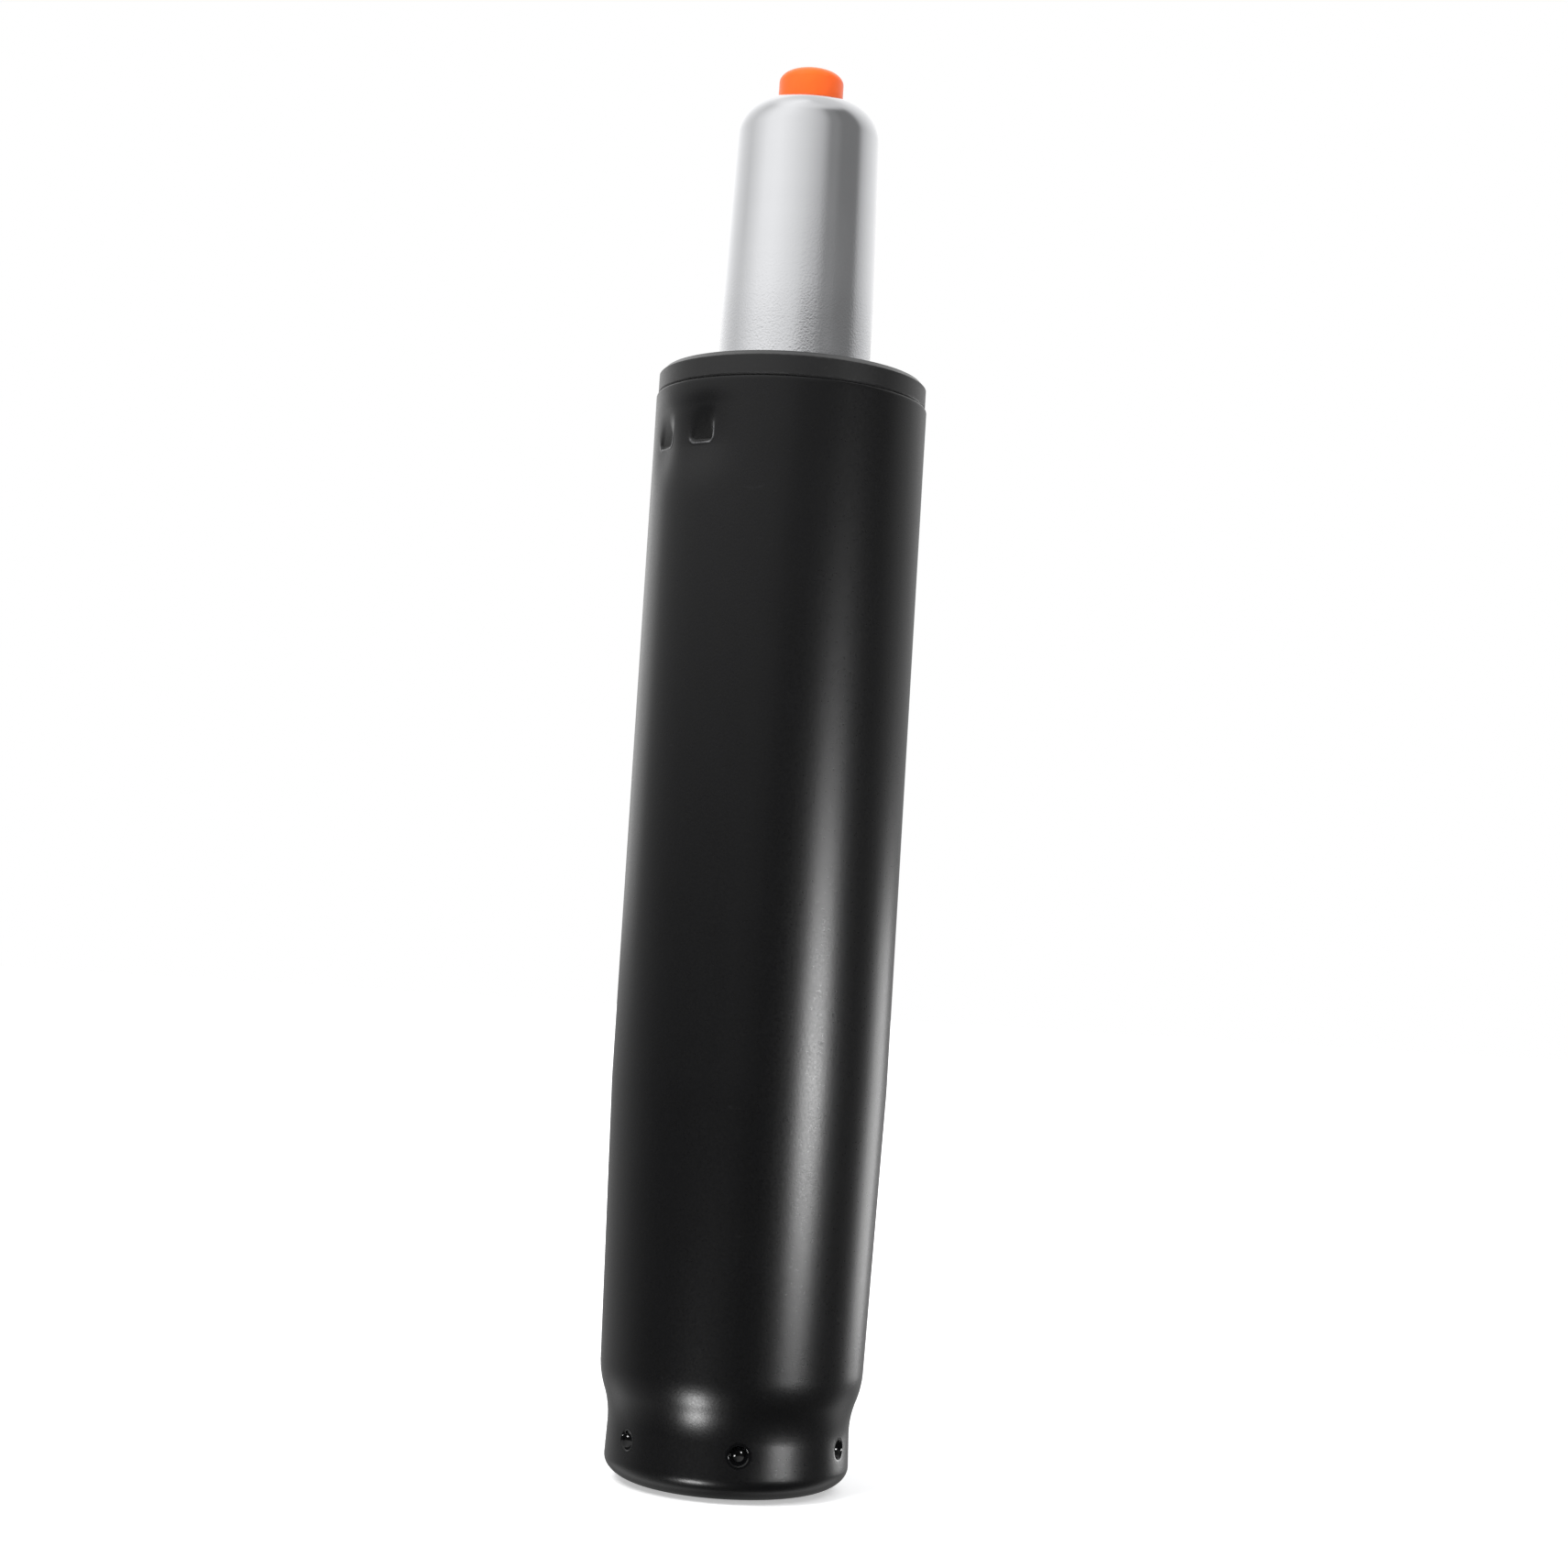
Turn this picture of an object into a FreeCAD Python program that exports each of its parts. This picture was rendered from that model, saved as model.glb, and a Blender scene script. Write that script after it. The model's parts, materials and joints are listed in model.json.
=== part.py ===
import FreeCAD, Part
import math
import os

# Gas lift cylinder of a swivel chair, shown compressed, in millimetres.
# The origin is the centre of the column's foot and +Z runs up the common axis.
# A column carries a plastic guide bush at its top and a plate with a thrust bearing at its foot.
# The piston rod stands on that bearing, and the pressure tube slides up over the rod.

# Fits and clearances
RUNNING = 0.05          # radial gap of a bore round a shaft that turns or slides in it
PRESSED = 0.05          # radial gap left by a piece that is pressed into a tube
REST_GAP = 0.3          # gap between two bodies where one stops against the other
THRUST_GAP = 0.1        # axial play under the bottom plate and under the valve seat

# Tapers
TAPER_RATIO = 19.922    # length over change of diameter, on the column and on the tube
TAPER_ANGLE = math.atan(0.5 / TAPER_RATIO)

# Outer column
COLUMN_LENGTH = 197.0
COLUMN_OUTER_D = 50.0
COLUMN_WALL = 2.0
COLUMN_TOP_ROUND = 0.8
BASE_CONE_TOP_Z = 71.5
BASE_CONE_LENGTH = 49.5
NECK_DEPTH = 1.958      # how far the neck is swaged in from the lower end of the cone
SWAGE_RADIUS = 16.0
FOOT_FLARE_DEG = 2.0
FOOT_CORNER_R = 5.0
FOOT_LAND = 2.5         # width of the flat that is left between the foot's corner and its hole

# Six punched dimples that hold the bottom plate down
DIMPLE_COUNT = 6
DIMPLE_FIRST_DEG = 30.0
DIMPLE_Z = 8.4
DIMPLE_MOUTH_D = 3.4
DIMPLE_DEPTH = 1.4
DIMPLE_LIP_ROUND = 0.25

# Staked scoops that hold the guide bush down, in two facing pairs
STAKE_PAIR_DEG = 213.0
STAKE_SPACING_DEG = 25.0
STAKE_DROP = 11.5       # from the column's top down to the sheared lower edge
STAKE_HEIGHT = 7.0
STAKE_WIDTH = 5.6
STAKE_DEPTH = 1.4
STAKE_CORNER_R = 1.6

# Guide bush, moulded in one piece with the collar that covers the column's top
COLLAR_STEP = 0.3       # how far the collar stands in from the column's outside
COLLAR_HEIGHT = 4.6
COLLAR_TOP_BEVEL = 0.9
COLLAR_FOOT_BEVEL = 0.4
BUSH_LENGTH = 80.0
BUSH_SLEEVE_WALL = 2.5
BUSH_HEAD_HEIGHT = 18.0
BUSH_END_BAND = 6.0
BUSH_RIB_COUNT = 8
BUSH_RIB_THICKNESS = 2.0
BUSH_GROOVE_DEPTH = 1.8

# Bottom plate
PLATE_THICKNESS = 4.5
PLATE_EDGE_GAP = 0.25
PLATE_EDGE_BEVEL = 0.7
PLATE_RACE_RECESS = 0.5
PLATE_CLIP_RECESS = 2.0
PLATE_CLIP_RECESS_D = 18.0

# Thrust bearing
BALL_COUNT = 10
BALL_D = 4.0
BALL_PITCH_R = 9.4
RACE_D = 25.0
RACE_THICKNESS = 1.5
RACE_GROOVE_DEPTH = 0.3
CAGE_THICKNESS = 2.2
CAGE_HOLE_GAP = 0.12

# Piston rod and the pieces stacked on its foot
ROD_D = 10.0
ROD_STUD_D = 8.0
ROD_STUD_TIP_Z = 0.8
ROD_END_BEVEL = 0.5
CLIP_THICKNESS = 0.9
CLIP_D = 13.0
CLIP_MOUTH = 4.6
CLIP_GROOVE_DEPTH = 0.9
CLIP_WASHER_THICKNESS = 0.7
CLIP_WASHER_D = 16.0
BUMPER_WASHER_THICKNESS = 1.0
BUMPER_D = 23.0
BUMPER_HEIGHT = 14.6
BUMPER_WAIST_DEPTH = 1.4
BUMPER_BORE_GAP = 0.1

# Pressure tube
TUBE_OUTER_D = 28.0
TUBE_WALL = 1.5
TUBE_CRIMP_R = 3.0
TUBE_CRIMP_HOLE_D = 17.0
TOP_CONE_LENGTH = 32.0
TUBE_SHOULDER_R = 6.5
STROKE = 100.0

# Sealing pack in the lower end of the tube
ROD_GUIDE_HEIGHT = 10.0
ROD_SEAL_HEIGHT = 5.0
ROD_SEAL_LIP = 1.2
SEAL_WASHER_THICKNESS = 1.5
CYLINDER_SEAT_HEIGHT = 4.0
CYLINDER_SEAT_SPIGOT = 6.0
CYLINDER_SEAT_PORTS = 4
CYLINDER_SEAT_PORT_WIDTH = 3.0

# Inner cylinder and piston
CYLINDER_OUTER_D = 22.0
CYLINDER_WALL = 1.0
PISTON_HEIGHT = 12.0
PISTON_STUD_D = 6.0
PISTON_RING_HEIGHT = 3.0
PISTON_RING_DEPTH = 1.8
PISTON_WASHER_D = 17.0
PISTON_WASHER_THICKNESS = 1.5
ROD_RIVET_D = 9.0
ROD_RIVET_HEIGHT = 3.0
GAS_RESERVE = 14.9      # from the top of the piston stack to the foot of the valve seat

# Valve
VALVE_SPIGOT_HEIGHT = 6.0
VALVE_SEAT_HEIGHT = 8.0
VALVE_PORT_COUNT = 4
VALVE_PORT_D = 2.2
VALVE_BODY_LENGTH = 43.0
VALVE_BODY_FOOT_HEIGHT = 11.0
VALVE_BODY_STEP_GAP = 0.35
VALVE_CAVITY_DEPTH = 5.0
O_RING_COUNT = 2
O_RING_THICKNESS = 1.8
O_RING_PITCH = 4.5
PIN_SEAL_THICKNESS = 1.2
PIN_SEAL_PITCH = 6.0
PIN_D = 4.0
PIN_WAIST_D = 2.8
PIN_HEAD_D = 6.8
PIN_HEAD_HEIGHT = 1.8

# Release button
BUTTON_D = 12.0
BUTTON_HEIGHT = 6.6     # above the rim of the pressure tube
BUTTON_EDGE_WIDTH = 3.0
BUTTON_EDGE_DROP = 2.5
BUTTON_TRAVEL = 3.5
BUTTON_FLANGE_D = 14.8
BUTTON_FLANGE_THICKNESS = 1.8
BUTTON_GAP = 0.1
BUTTON_SOCKET_DEPTH = 6.0

# Radii that follow
COLUMN_R = COLUMN_OUTER_D / 2
COLUMN_BORE_R = COLUMN_R - COLUMN_WALL
COLLAR_R = COLUMN_R - COLLAR_STEP
TUBE_R = TUBE_OUTER_D / 2
TUBE_BORE_R = TUBE_R - TUBE_WALL
TUBE_FILL_R = TUBE_BORE_R - PRESSED
ROD_R = ROD_D / 2
STUD_R = ROD_STUD_D / 2
BUMPER_R = BUMPER_D / 2
BALL_R = BALL_D / 2
RACE_R = RACE_D / 2
TRACK_R = BALL_R + RUNNING
CYLINDER_R = CYLINDER_OUTER_D / 2
CYLINDER_BORE_R = CYLINDER_R - CYLINDER_WALL
PISTON_R = CYLINDER_BORE_R - RUNNING
PIN_R = PIN_D / 2
PIN_BORE_R = PIN_R + RUNNING
BUTTON_R = BUTTON_D / 2
STACK_BORE_R = STUD_R + PRESSED

# Heights of the stack at the foot, from the turned-in foot upwards
PLATE_Z = COLUMN_WALL
PLATE_TOP_Z = PLATE_Z + PLATE_THICKNESS
PLATE_WEB_Z = PLATE_Z + PLATE_CLIP_RECESS
CLIP_WASHER_Z = PLATE_WEB_Z - THRUST_GAP - CLIP_WASHER_THICKNESS
CLIP_Z = CLIP_WASHER_Z - CLIP_THICKNESS
LOWER_RACE_Z = PLATE_TOP_Z - PLATE_RACE_RECESS
LOWER_RACE_TOP_Z = LOWER_RACE_Z + RACE_THICKNESS
BALL_Z = LOWER_RACE_TOP_Z - RACE_GROOVE_DEPTH + TRACK_R
UPPER_RACE_Z = BALL_Z + TRACK_R - RACE_GROOVE_DEPTH
BUMPER_WASHER_Z = UPPER_RACE_Z + RACE_THICKNESS
ROD_SHOULDER_Z = BUMPER_WASHER_Z + BUMPER_WASHER_THICKNESS
BUMPER_TOP_Z = ROD_SHOULDER_Z + BUMPER_HEIGHT

# Heights in the pressure tube, from its crimped lower end upwards
TUBE_Z = BUMPER_TOP_Z + REST_GAP
ROD_GUIDE_Z = TUBE_Z + TUBE_WALL
ROD_SEAL_Z = ROD_GUIDE_Z + ROD_GUIDE_HEIGHT
SEAL_WASHER_Z = ROD_SEAL_Z + ROD_SEAL_HEIGHT
CYLINDER_SEAT_Z = SEAL_WASHER_Z + SEAL_WASHER_THICKNESS
CYLINDER_Z = CYLINDER_SEAT_Z + CYLINDER_SEAT_HEIGHT
SPIGOT_TOP_Z = CYLINDER_Z + CYLINDER_SEAT_SPIGOT
PISTON_STACK_Z = SPIGOT_TOP_Z + STROKE + REST_GAP
PISTON_Z = PISTON_STACK_Z + PISTON_WASHER_THICKNESS
PISTON_TOP_Z = PISTON_Z + PISTON_HEIGHT
RIVET_Z = PISTON_TOP_Z + PISTON_WASHER_THICKNESS
ROD_TOP_Z = RIVET_Z + ROD_RIVET_HEIGHT
VALVE_SPIGOT_Z = ROD_TOP_Z + GAS_RESERVE
VALVE_SEAT_Z = VALVE_SPIGOT_Z + VALVE_SPIGOT_HEIGHT
VALVE_BODY_Z = VALVE_SEAT_Z + VALVE_SEAT_HEIGHT
VALVE_BODY_TOP_Z = VALVE_BODY_Z + VALVE_BODY_LENGTH
BUTTON_FLANGE_Z = VALVE_BODY_TOP_Z + REST_GAP + BUTTON_TRAVEL
BUTTON_FLANGE_TOP_Z = BUTTON_FLANGE_Z + BUTTON_FLANGE_THICKNESS
TUBE_TOP_Z = BUTTON_FLANGE_TOP_Z + REST_GAP + TUBE_WALL
BUTTON_TOP_Z = TUBE_TOP_Z + BUTTON_HEIGHT
TOP_CONE_END_Z = TUBE_TOP_Z - TUBE_SHOULDER_R * (1 - math.sin(TAPER_ANGLE))
TOP_CONE_Z = TOP_CONE_END_Z - TOP_CONE_LENGTH

AXIS_FOOT = FreeCAD.Vector(0, 0, 0)
UP = FreeCAD.Vector(0, 0, 1)
OUT = FreeCAD.Vector(1, 0, 0)
PAST = 1.0              # how far a cutting tool runs past the face it opens


# Shared tools

def outline(start, steps):
    """Closed wire in the XZ plane: a step is an (r, z) point, or a pair of points for an arc."""
    edges = []
    here = FreeCAD.Vector(start[0], 0, start[1])
    for step in list(steps) + [start]:
        via, end = step if isinstance(step[0], tuple) else (None, step)
        there = FreeCAD.Vector(end[0], 0, end[1])
        if here.isEqual(there, 1e-7):
            continue
        if via:
            edges.append(Part.Arc(here, FreeCAD.Vector(via[0], 0, via[1]), there).toShape())
        else:
            edges.append(Part.LineSegment(here, there).toShape())
        here = there
    return Part.Wire(edges)


def turned(start, *steps):
    """Solid of revolution about the axis."""
    return Part.Face(outline(start, steps)).revolve(AXIS_FOOT, UP, 360)


def ring(inner_r, outer_r, low_z, high_z, bevel=0.0):
    """Plain washer or sleeve, with an optional bevel on its two outer edges."""
    return turned((inner_r, low_z), (outer_r - bevel, low_z), (outer_r, low_z + bevel),
                  (outer_r, high_z - bevel), (outer_r - bevel, high_z), (inner_r, high_z))


def torus(ring_r, section_r, z):
    return Part.makeTorus(ring_r, section_r, FreeCAD.Vector(0, 0, z), UP)


def around(shape, count, first_deg=0.0):
    """Copies of a shape, evenly spaced about the axis."""
    copies = []
    for number in range(count):
        copy = shape.copy()
        copy.rotate(AXIS_FOOT, UP, first_deg + number * 360.0 / count)
        copies.append(copy)
    return copies


def rounded_at(shape, radius, r, z):
    """Round the circular edge of radius r that lies at height z."""
    edges = [edge for edge in shape.Edges
             if hasattr(edge.Curve, "Radius")
             and abs(edge.Curve.Radius - r) < 1e-4 and abs(edge.Curve.Center.z - z) < 1e-4]
    return shape.makeFillet(radius, edges)


def inward(angle):
    """Unit normal that points to the axis from a wall that leans in by this angle as it goes down."""
    return (-math.cos(angle), math.sin(angle))


def offset(point, direction, distance):
    return (point[0] + direction[0] * distance, point[1] + direction[1] * distance)


def arc_points(centre, radius, first, last):
    """Middle and end of an arc about a centre, from one wall angle to another."""
    middle = (first + last) / 2
    return (offset(centre, inward(middle), radius), offset(centre, inward(last), radius))


# Outer column

BASE_CONE_LOW = (COLUMN_R - BASE_CONE_LENGTH * math.tan(TAPER_ANGLE), BASE_CONE_TOP_Z - BASE_CONE_LENGTH)
FLARE_ANGLE = math.radians(FOOT_FLARE_DEG)
SWAGE_ANGLE = math.acos((math.cos(TAPER_ANGLE) + 1 - NECK_DEPTH / SWAGE_RADIUS) / 2)
SHOULDER_CENTRE = offset(BASE_CONE_LOW, inward(TAPER_ANGLE), SWAGE_RADIUS)
NECK_CENTRE = offset(SHOULDER_CENTRE, inward(SWAGE_ANGLE), -2 * SWAGE_RADIUS)
NECK_END = offset(NECK_CENTRE, inward(-FLARE_ANGLE), SWAGE_RADIUS)
FLARE_END_Z = FOOT_CORNER_R * (1 + math.sin(FLARE_ANGLE))
FLARE_END_R = NECK_END[0] + (NECK_END[1] - FLARE_END_Z) * math.tan(FLARE_ANGLE)
FOOT_CENTRE = (FLARE_END_R - FOOT_CORNER_R * math.cos(FLARE_ANGLE), FOOT_CORNER_R)
FOOT_HOLE_R = FOOT_CENTRE[0] - FOOT_LAND


def neck_r_at(z):
    """Outside radius of the flared stretch between the neck and the foot's corner."""
    return NECK_END[0] + (NECK_END[1] - z) * math.tan(FLARE_ANGLE)


def column_filled(inset, top_z):
    """The column's form up to top_z, filled, with its side moved in by the inset."""
    foot_z = FOOT_CENTRE[1] - (FOOT_CORNER_R - inset)
    return turned((0, foot_z),
                  (FOOT_CENTRE[0], foot_z),
                  arc_points(FOOT_CENTRE, inset - FOOT_CORNER_R, math.pi / 2, -FLARE_ANGLE),
                  offset(NECK_CENTRE, inward(-FLARE_ANGLE), SWAGE_RADIUS + inset),
                  arc_points(NECK_CENTRE, SWAGE_RADIUS + inset, -FLARE_ANGLE, SWAGE_ANGLE),
                  arc_points(SHOULDER_CENTRE, inset - SWAGE_RADIUS, SWAGE_ANGLE, TAPER_ANGLE),
                  (COLUMN_R - inset, BASE_CONE_TOP_Z - inset * math.tan(TAPER_ANGLE / 2)),
                  (COLUMN_R - inset, top_z),
                  (0, top_z))


def dimple_tools():
    """Ball that punches one dimple, and the bump that it raises inside."""
    ball_r = (DIMPLE_MOUTH_D ** 2 / 4 + DIMPLE_DEPTH ** 2) / (2 * DIMPLE_DEPTH)
    centre = FreeCAD.Vector(neck_r_at(DIMPLE_Z) - DIMPLE_DEPTH + ball_r, 0, DIMPLE_Z)
    bump = Part.makeSphere(ball_r + COLUMN_WALL * 0.8, centre)
    outside = column_filled(COLUMN_WALL / 2, COLUMN_LENGTH)
    return Part.makeSphere(ball_r, centre), bump.common(outside)


def dimple_mouths(column):
    """Edges where the dimples break through the column's outside."""
    mouths = []
    for edge in column.Edges:
        middle = edge.CenterOfMass
        near_mouth = abs(math.hypot(middle.x, middle.y) - neck_r_at(DIMPLE_Z)) < DIMPLE_DEPTH / 3
        if near_mouth and abs(middle.z - DIMPLE_Z) < DIMPLE_MOUTH_D / 2:
            mouths.append(edge)
    return mouths


def stake_wedge(inset):
    """Sloping scoop, deepest at its sheared lower edge, moved in by the inset."""
    low_z = COLUMN_LENGTH - STAKE_DROP
    half = STAKE_WIDTH / 2
    corner = STAKE_CORNER_R
    bend = corner * (1 - math.sqrt(0.5))
    reach = COLUMN_R - STAKE_DEPTH - inset
    top_z = low_z + STAKE_HEIGHT
    face = [(-half, top_z), (-half, low_z + corner), (-half + corner, low_z),
            (half - corner, low_z), (half, low_z + corner), (half, top_z)]
    points = [FreeCAD.Vector(reach, y, z) for y, z in face]
    left_via = FreeCAD.Vector(reach, -half + bend, low_z + bend)
    right_via = FreeCAD.Vector(reach, half - bend, low_z + bend)
    edges = [Part.LineSegment(points[0], points[1]).toShape(),
             Part.Arc(points[1], left_via, points[2]).toShape(),
             Part.LineSegment(points[2], points[3]).toShape(),
             Part.Arc(points[3], right_via, points[4]).toShape(),
             Part.LineSegment(points[4], points[5]).toShape(),
             Part.LineSegment(points[5], points[0]).toShape()]
    block = Part.Face(Part.Wire(edges)).extrude(OUT * (STAKE_DEPTH + inset + PAST))
    slope = [(reach, low_z), (reach + STAKE_DEPTH, top_z), (reach - PAST, top_z), (reach - PAST, low_z)]
    corners = [FreeCAD.Vector(x, -half - PAST, z) for x, z in slope + slope[:1]]
    under_slope = Part.Face(Part.makePolygon(corners)).extrude(FreeCAD.Vector(0, STAKE_WIDTH + 2 * PAST, 0))
    return block.cut(under_slope)


def outer_column():
    inside = column_filled(COLUMN_WALL, COLUMN_LENGTH + PAST)
    hole = Part.makeCylinder(FOOT_HOLE_R, COLUMN_WALL + 2 * PAST, FreeCAD.Vector(0, 0, -PAST))
    column = rounded_at(column_filled(0, COLUMN_LENGTH), COLUMN_TOP_ROUND, COLUMN_R, COLUMN_LENGTH)
    column = column.cut(inside).cut(hole)
    punch, bump = dimple_tools()
    skin = Part.makeCylinder(COLUMN_R - COLUMN_WALL / 2, COLUMN_LENGTH)
    raised = stake_wedge(COLUMN_WALL).common(skin)
    bumps = around(bump, DIMPLE_COUNT, DIMPLE_FIRST_DEG)
    punches = around(punch, DIMPLE_COUNT, DIMPLE_FIRST_DEG)
    for side in (-0.5, 0.5):
        stake_deg = STAKE_PAIR_DEG + side * STAKE_SPACING_DEG
        bumps += around(raised, 2, stake_deg)
        punches += around(stake_wedge(0), 2, stake_deg)
    column = column.fuse(bumps).cut(punches).removeSplitter()
    return column.makeFillet(DIMPLE_LIP_ROUND, dimple_mouths(column))


# Guide bush

def guide_bush():
    top_z = COLUMN_LENGTH + COLLAR_HEIGHT
    foot_z = COLUMN_LENGTH - BUSH_LENGTH
    bore_r = TUBE_R + RUNNING
    sleeve_r = bore_r + BUSH_SLEEVE_WALL
    fill_r = COLUMN_BORE_R - PRESSED
    lead_in = 0.6
    collar_and_sleeve = turned(
        (bore_r, foot_z + lead_in), (bore_r + lead_in, foot_z), (sleeve_r, foot_z),
        (sleeve_r, COLUMN_LENGTH), (COLLAR_R - COLLAR_FOOT_BEVEL, COLUMN_LENGTH),
        (COLLAR_R, COLUMN_LENGTH + COLLAR_FOOT_BEVEL), (COLLAR_R, top_z - COLLAR_TOP_BEVEL),
        (COLLAR_R - COLLAR_TOP_BEVEL, top_z), (bore_r + lead_in, top_z), (bore_r, top_z - lead_in))
    head_z = COLUMN_LENGTH - BUSH_HEAD_HEIGHT
    head = ring(sleeve_r - PAST, fill_r, head_z, COLUMN_LENGTH)
    stake_low_z = COLUMN_LENGTH - STAKE_DROP
    groove = ring(COLUMN_BORE_R - BUSH_GROOVE_DEPTH, COLUMN_R,
                  stake_low_z - REST_GAP, stake_low_z + STAKE_HEIGHT + REST_GAP)
    end_band = ring(sleeve_r - PAST, fill_r, foot_z, foot_z + BUSH_END_BAND, lead_in)
    rib = Part.makeBox(fill_r - sleeve_r + PAST, BUSH_RIB_THICKNESS, head_z - foot_z,
                       FreeCAD.Vector(sleeve_r - PAST, -BUSH_RIB_THICKNESS / 2, foot_z))
    round_rib = rib.common(Part.makeCylinder(fill_r, COLUMN_LENGTH))
    pieces = [head, end_band] + around(round_rib, BUSH_RIB_COUNT)
    return collar_and_sleeve.fuse(pieces).cut(groove).removeSplitter()


# Bottom plate and thrust bearing

def bottom_plate():
    edge_r = neck_r_at(PLATE_TOP_Z) - COLUMN_WALL - PLATE_EDGE_GAP
    corner = FOOT_CORNER_R - COLUMN_WALL
    corner_centre = (edge_r - corner, PLATE_Z + corner)
    low_corner = arc_points(corner_centre, -corner, math.pi / 2, 0)
    return turned(
        (STUD_R + RUNNING, PLATE_WEB_Z), (PLATE_CLIP_RECESS_D / 2, PLATE_WEB_Z),
        (PLATE_CLIP_RECESS_D / 2, PLATE_Z), (corner_centre[0], PLATE_Z), low_corner,
        (edge_r, PLATE_TOP_Z - PLATE_EDGE_BEVEL), (edge_r - PLATE_EDGE_BEVEL, PLATE_TOP_Z),
        (RACE_R + PRESSED, PLATE_TOP_Z), (RACE_R + PRESSED, LOWER_RACE_Z),
        (STUD_R + RUNNING, LOWER_RACE_Z))


def bearing_lower_race():
    race = ring(STUD_R + REST_GAP, RACE_R, LOWER_RACE_Z, LOWER_RACE_TOP_Z)
    return race.cut(torus(BALL_PITCH_R, TRACK_R, BALL_Z))


def bearing_upper_race():
    race = ring(STACK_BORE_R, RACE_R, UPPER_RACE_Z, BUMPER_WASHER_Z)
    return race.cut(torus(BALL_PITCH_R, TRACK_R, BALL_Z))


def bearing_balls():
    ball = Part.makeSphere(BALL_R, FreeCAD.Vector(BALL_PITCH_R, 0, BALL_Z))
    return Part.makeCompound(around(ball, BALL_COUNT))


def ball_cage():
    low_z = BALL_Z - CAGE_THICKNESS / 2
    land = BALL_R + 1.0
    cage = ring(BALL_PITCH_R - land, BALL_PITCH_R + land, low_z, low_z + CAGE_THICKNESS)
    pocket = Part.makeCylinder(BALL_R + CAGE_HOLE_GAP, CAGE_THICKNESS + 2 * PAST,
                               FreeCAD.Vector(BALL_PITCH_R, 0, low_z - PAST))
    return cage.cut(around(pocket, BALL_COUNT))


# Piston rod, its clip and the bumper

def piston_rod():
    bevel = ROD_END_BEVEL
    groove_r = STUD_R - CLIP_GROOVE_DEPTH
    clip_top_z = CLIP_Z + CLIP_THICKNESS
    neck_r = PISTON_STUD_D / 2
    head_r = ROD_RIVET_D / 2
    crown_r = head_r / 3
    crown_via = (crown_r + (head_r - crown_r) * math.sqrt(0.5), RIVET_Z + ROD_RIVET_HEIGHT * math.sqrt(0.5))
    return turned(
        (0, ROD_STUD_TIP_Z), (groove_r, ROD_STUD_TIP_Z), (STUD_R, ROD_STUD_TIP_Z + bevel),
        (STUD_R, CLIP_Z), (groove_r, CLIP_Z), (groove_r, clip_top_z), (STUD_R, clip_top_z),
        (STUD_R, ROD_SHOULDER_Z), (ROD_R - bevel / 2, ROD_SHOULDER_Z), (ROD_R, ROD_SHOULDER_Z + bevel / 2),
        (ROD_R, PISTON_STACK_Z - bevel / 2), (ROD_R - bevel / 2, PISTON_STACK_Z),
        (neck_r, PISTON_STACK_Z), (neck_r, RIVET_Z), (head_r, RIVET_Z), (crown_via, (crown_r, ROD_TOP_Z)),
        (0, ROD_TOP_Z))


def clip_washer():
    return ring(STACK_BORE_R, CLIP_WASHER_D / 2, CLIP_WASHER_Z, PLATE_WEB_Z - THRUST_GAP)


def rod_clip():
    """Spring clip pushed sideways onto the groove, gripping it with three lugs."""
    grip_r = STUD_R - CLIP_GROOVE_DEPTH
    relief_r = STUD_R + 0.6
    lug_width = 2.4
    clip = ring(relief_r, CLIP_D / 2, CLIP_Z, CLIP_WASHER_Z, 0.15)
    lug = Part.makeBox(relief_r - grip_r + 0.5, lug_width, CLIP_THICKNESS,
                       FreeCAD.Vector(grip_r, -lug_width / 2, CLIP_Z))
    clip = clip.fuse(around(lug, 3, 180))
    mouth = Part.makeBox(CLIP_D, CLIP_MOUTH, CLIP_THICKNESS + 2 * PAST,
                         FreeCAD.Vector(0, -CLIP_MOUTH / 2, CLIP_Z - PAST))
    core = Part.makeCylinder(grip_r, CLIP_THICKNESS + 2 * PAST, FreeCAD.Vector(0, 0, CLIP_Z - PAST))
    return clip.cut([mouth, core]).removeSplitter()


def bumper_washer():
    return ring(STACK_BORE_R, BUMPER_R, BUMPER_WASHER_Z, ROD_SHOULDER_Z, 0.2)


def rubber_bumper():
    bore_r = ROD_R + BUMPER_BORE_GAP
    middle_z = ROD_SHOULDER_Z + BUMPER_HEIGHT / 2
    quarter = BUMPER_HEIGHT / 4
    edge = 1.0
    waist = ((BUMPER_R - BUMPER_WAIST_DEPTH, middle_z), (BUMPER_R, middle_z + quarter))
    return turned(
        (bore_r, ROD_SHOULDER_Z), (BUMPER_R, ROD_SHOULDER_Z), (BUMPER_R, middle_z - quarter), waist,
        (BUMPER_R, BUMPER_TOP_Z - edge), (BUMPER_R - edge, BUMPER_TOP_Z), (bore_r, BUMPER_TOP_Z))


# Piston stack

def piston_lower_washer():
    return ring(PISTON_STUD_D / 2 + PRESSED, PISTON_WASHER_D / 2, PISTON_STACK_Z, PISTON_Z)


def piston():
    bore_r = PISTON_STUD_D / 2 + PRESSED
    groove_r = PISTON_R - PISTON_RING_DEPTH
    groove_z = PISTON_Z + (PISTON_HEIGHT - PISTON_RING_HEIGHT) / 2
    groove_top_z = groove_z + PISTON_RING_HEIGHT
    edge = 0.5
    return turned(
        (bore_r, PISTON_Z), (PISTON_R - edge, PISTON_Z), (PISTON_R, PISTON_Z + edge),
        (PISTON_R, groove_z), (groove_r, groove_z), (groove_r, groove_top_z), (PISTON_R, groove_top_z),
        (PISTON_R, PISTON_TOP_Z - edge), (PISTON_R - edge, PISTON_TOP_Z), (bore_r, PISTON_TOP_Z))


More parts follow.
